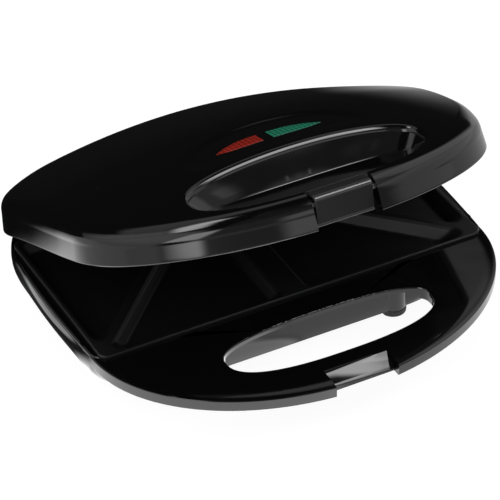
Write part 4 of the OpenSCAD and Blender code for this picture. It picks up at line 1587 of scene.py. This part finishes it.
@dataclass
class Studio:
    """Camera, pale floor, soft lamps and the world."""

    azimuth: float = 0.50157836
    elevation: float = 0.66324026
    roll: float = 0.00192665
    distance: float = 1595.894
    lens: float = 216.0
    shift: tuple[float, float] = (-0.0942, 0.0866)

    def camera(self) -> None:
        """Makes the camera: it looks at the drawing's origin from its azimuth and elevation."""
        a, e = self.azimuth, self.elevation
        ahead = np.array([math.sin(a) * math.cos(e), math.cos(a) * math.cos(e), -math.sin(e)])
        right = np.array([math.cos(a), -math.sin(a), 0.0])
        up = np.cross(right, ahead)
        c, s = math.cos(self.roll), math.sin(self.roll)
        right, up = c * right + s * up, c * up - s * right
        eye = AT_BASE.carry((-self.distance * ahead)[None])[0]
        turn = Matrix([[*row] for row in np.column_stack([right, up, -ahead])]).to_4x4()
        data = bpy.data.cameras.new("camera")
        data.lens, data.sensor_width, data.sensor_fit = self.lens, 36.0, "HORIZONTAL"
        data.shift_x, data.shift_y = self.shift
        data.clip_start, data.clip_end = 0.05, 20.0
        camera = bpy.context.scene.camera = new_object("camera", data)
        camera.matrix_world = Matrix.Translation(Vector(eye)) @ turn

    def panel(self, name: str, place: Three, size: tuple[float, float], power: float) -> None:
        """Makes one soft lamp that faces the toaster.

        Args:
            name: its name.
            place: where it hangs, in metres.
            size: width and height in metres.
            power: in watts.
        """
        data = bpy.data.lights.new(name, "AREA")
        data.shape, data.size, data.size_y, data.energy = "RECTANGLE", *size, power
        lamp = new_object(name, data)
        lamp.location = place
        lamp.visible_glossy = False
        aim = Vector((0, 0, 0.05)) - Vector(place)
        lamp.rotation_euler = aim.to_track_quat("-Z", "Y").to_euler()

    def floor(self) -> None:
        """Makes the pale floor: white to the camera, and in reflections a glow that varies round it."""
        mesh = bpy.data.meshes.new("floor")
        r = 6.0
        mesh.from_pydata([(-r, -r, 0), (r, -r, 0), (r, r, 0), (-r, r, 0)], [], [(0, 1, 2, 3)])
        floor = new_object("floor", mesh)
        material = bpy.data.materials.new("floor")
        tree = Tree(material)
        x, y, _ = tree.axes(tree.place())
        across, away = x.bearing(y * -1), (x * x + y * y) ** 0.5
        near = across.within(-125.0, -90.0, 5.0) * away.ramp(0.160, 0.185, 0.02, 1.0)
        near = near + across.within(-90.0, 0.0, 5.0) + across.within(0.0, 70.0, 10.0) * 0.52
        far = across.within(-126.0, -30.0, 5.0) + across.within(-30.0, 16.0, 8.0) * 0.45
        glow = near * away.ramp(0.16, 0.36, 2.7, 0.0) + far * away.ramp(0.16, 0.36, 0.0, 0.95)
        glow = glow + across.within(70.0, 136.0, 10.0) * 0.6 + 0.01
        paper = tree.node("ShaderNodeBsdfPrincipled", None, {
            "Base Color": (0.93, 0.93, 0.93), "Roughness": 0.9, "Specular IOR Level": 0.1})
        path = tree.node("ShaderNodeLightPath")
        seen, mirrored = path["Is Camera Ray"], path["Is Glossy Ray"]
        white = tree.node("ShaderNodeEmission", None, {
            "Color": (1.0, 1.0, 1.0), "Strength": seen * 1.15 + mirrored * (1 - seen) * glow})
        straight = (seen * 0.8 + mirrored).clamped()
        both = tree.node("ShaderNodeMixShader", None, {0: straight, 1: paper["BSDF"], 2: white["Emission"]})
        tree.node("ShaderNodeOutputMaterial", None, {"Surface": both["Shader"]})
        mesh.materials.append(material)

    def world(self) -> None:
        """Makes the world: white to the camera and soft grey light.

        In reflections it is a studio: pale walls left and right, soft boxes on both sides of the
        camera and narrow lamps high up, a dim band behind, and dark elsewhere.
        """
        world = bpy.data.worlds.new("studio")
        bpy.context.scene.world = world
        tree = Tree(world)
        x, y, z = tree.axes(tree.node("ShaderNodeTexCoord")["Generated"])
        across, up = x.bearing(y * -1), z.rise()
        walls, front = up.within(-90.0, 60.0, 5.0), across.within(-42.0, 46.0, 5.0)
        left = across.within(-134.0, -62.0, 6.0) * walls * up.ramp(0.0, 35.0, 0.8, 1.15)
        right = across.within(46.0, 127.0, 5.0) * walls * up.ramp(15.0, 45.0, 0.78, 1.05)
        right = right * (1 - across.within(40.0, 84.0, 5.0) * up.within(39.0, 60.0, 3.0) * 0.6)
        front = front * up.ramp(14.0, 24.0, 0.42, 0.2) * up.ramp(48.0, 60.0, 1.0, 0.5)
        front = front * across.ramp(8.0, 30.0, 1.2, 0.5)
        behind = (1 - across.within(-136.0, 130.0, 6.0)) * up.within(37.0, 58.0, 3.0) * 0.55
        room = left + right + front + behind + 0.012
        for bearings, heights, power in (
                ((-2.0, 38.0, 4.0), (19.0, 38.0, 4.0), 1.1),           # lower box ahead
                ((-62.0, -41.0, 3.0), (13.0, 50.0, 4.0), 4.2),         # left box
                ((33.0, 62.0, 3.0), (50.0, 62.0, 4.0), 5.0),           # right box
                ((30.0, 95.0, 8.0), (60.0, 70.0, 3.0), 8.0),           # lamp above the right box
                ((-170.0, -118.0, 6.0), (61.0, 72.0, 3.0), 7.0)):      # lamp behind on the left
            room = room + across.within(*bearings) * up.within(*heights) * power
        path = tree.node("ShaderNodeLightPath")
        seen = path["Is Camera Ray"]
        mirrored = (path["Is Glossy Ray"] * (1 - seen)).clamped()
        strength = seen + mirrored * room + (1 - seen) * (1 - mirrored) * 0.5
        back = tree.node("ShaderNodeBackground", None, {"Color": (1.0, 1.0, 1.0), "Strength": strength})
        tree.node("ShaderNodeOutputWorld", None, {"Surface": back["Background"]})

    def build(self) -> None:
        """Sets up the whole studio."""
        bpy.context.scene.view_settings.view_transform = "Standard"
        self.camera()
        self.floor()
        self.world()
        self.panel("left_panel", (-1.3, -0.5, 1.1), (0.9, 1.2), 9.0)
        self.panel("right_panel", (1.2, -0.4, 0.8), (0.5, 0.9), 5.0)


# ---------------------------------------------------------------- main


def main() -> None:
    """Builds the studio and every sub-assembly in order."""
    logging.basicConfig(level=logging.INFO, format="%(name)s %(message)s")
    Studio().build()
    gloss, coating = GlossMoulding().material(), NonStick().material()
    base, lid = Base(), Lid()
    base.build(gloss)
    Plate().build("lower_cooking_plate", coating, Body.BASE, "lower_plate")
    lid.build(gloss)
    Plate().build("upper_cooking_plate", coating, Body.LID, "upper_plate")
    red = TintedWindow("red_window", (0.38, 0.022, 0.012), (0.10, 0.007, 0.005)).material()
    green = TintedWindow("green_window", (0.022, 0.24, 0.14), (0.006, 0.07, 0.04)).material()
    Lights(lid).build(red, green)
    Clip().build(GlossMoulding("gloss_clip", (0.022, 0.022, 0.023), 0.12).material())

    steel = Metal("plated_steel", (0.62, 0.62, 0.63), (0.45, 0.44, 0.42)).material()
    pin = Metal("ground_pin", (0.60, 0.60, 0.61), (0.5, 0.5, 0.5), 0.2, (900.0, 60.0, 60.0)).material()
    sheet = Metal("bright_sheet", (0.78, 0.78, 0.77), (0.66, 0.65, 0.62), 0.22).material()
    sheath = Metal("element_sheath", (0.30, 0.28, 0.27), (0.16, 0.12, 0.10), 0.4).material()
    ceramic = Grained("ceramic", (0.80, 0.78, 0.72), (0.62, 0.58, 0.50)).material()
    sleeve = Grained("sleeve", (0.78, 0.77, 0.74), (0.6, 0.57, 0.5), 0.85,
                     grain=(1600.0, 4.0, 0.6)).material()
    rubber = Grained("rubber", (0.022, 0.022, 0.022), (0.06, 0.058, 0.055), 0.62, clouds=(45.0, 4.0, 0.6),
                     patches=(0.5, 0.85), grain=(1100.0, 3.0, 0.6), relief=(0.00008, 0.5), cloud_rough=0.2,
                     grain_rough=0.0).material()
    base.front_feet(rubber)
    dress_nodes({
        "bottom_cover": GrainMoulding().material(), "base_wiring": sleeve,
        **dict.fromkeys(("lower_element", "upper_element"), sheath),
        **dict.fromkeys(("lower_reflector", "upper_reflector"), sheet),
        **dict.fromkeys(("lower_element_clamp", "upper_element_clamp", "upper_plate_screws", "lid_screws",
                         "base_screws", "thermal_fuse"), steel),
        **dict.fromkeys(("terminal_block", "lamp_holder", "thermostat"), ceramic),
        **dict.fromkeys(("cord_gland", "rear_feet"), rubber),
        **dict.fromkeys(("hinge_pin_left", "hinge_pin_right", "latch_pin"), pin),
        "red_lamp": LampGlass("red_lamp", (1.0, 0.45, 0.25)).material(),
        "green_lamp": LampGlass("green_lamp", (0.5, 1.0, 0.6)).material()})


if __name__ == "__main__":
    main()
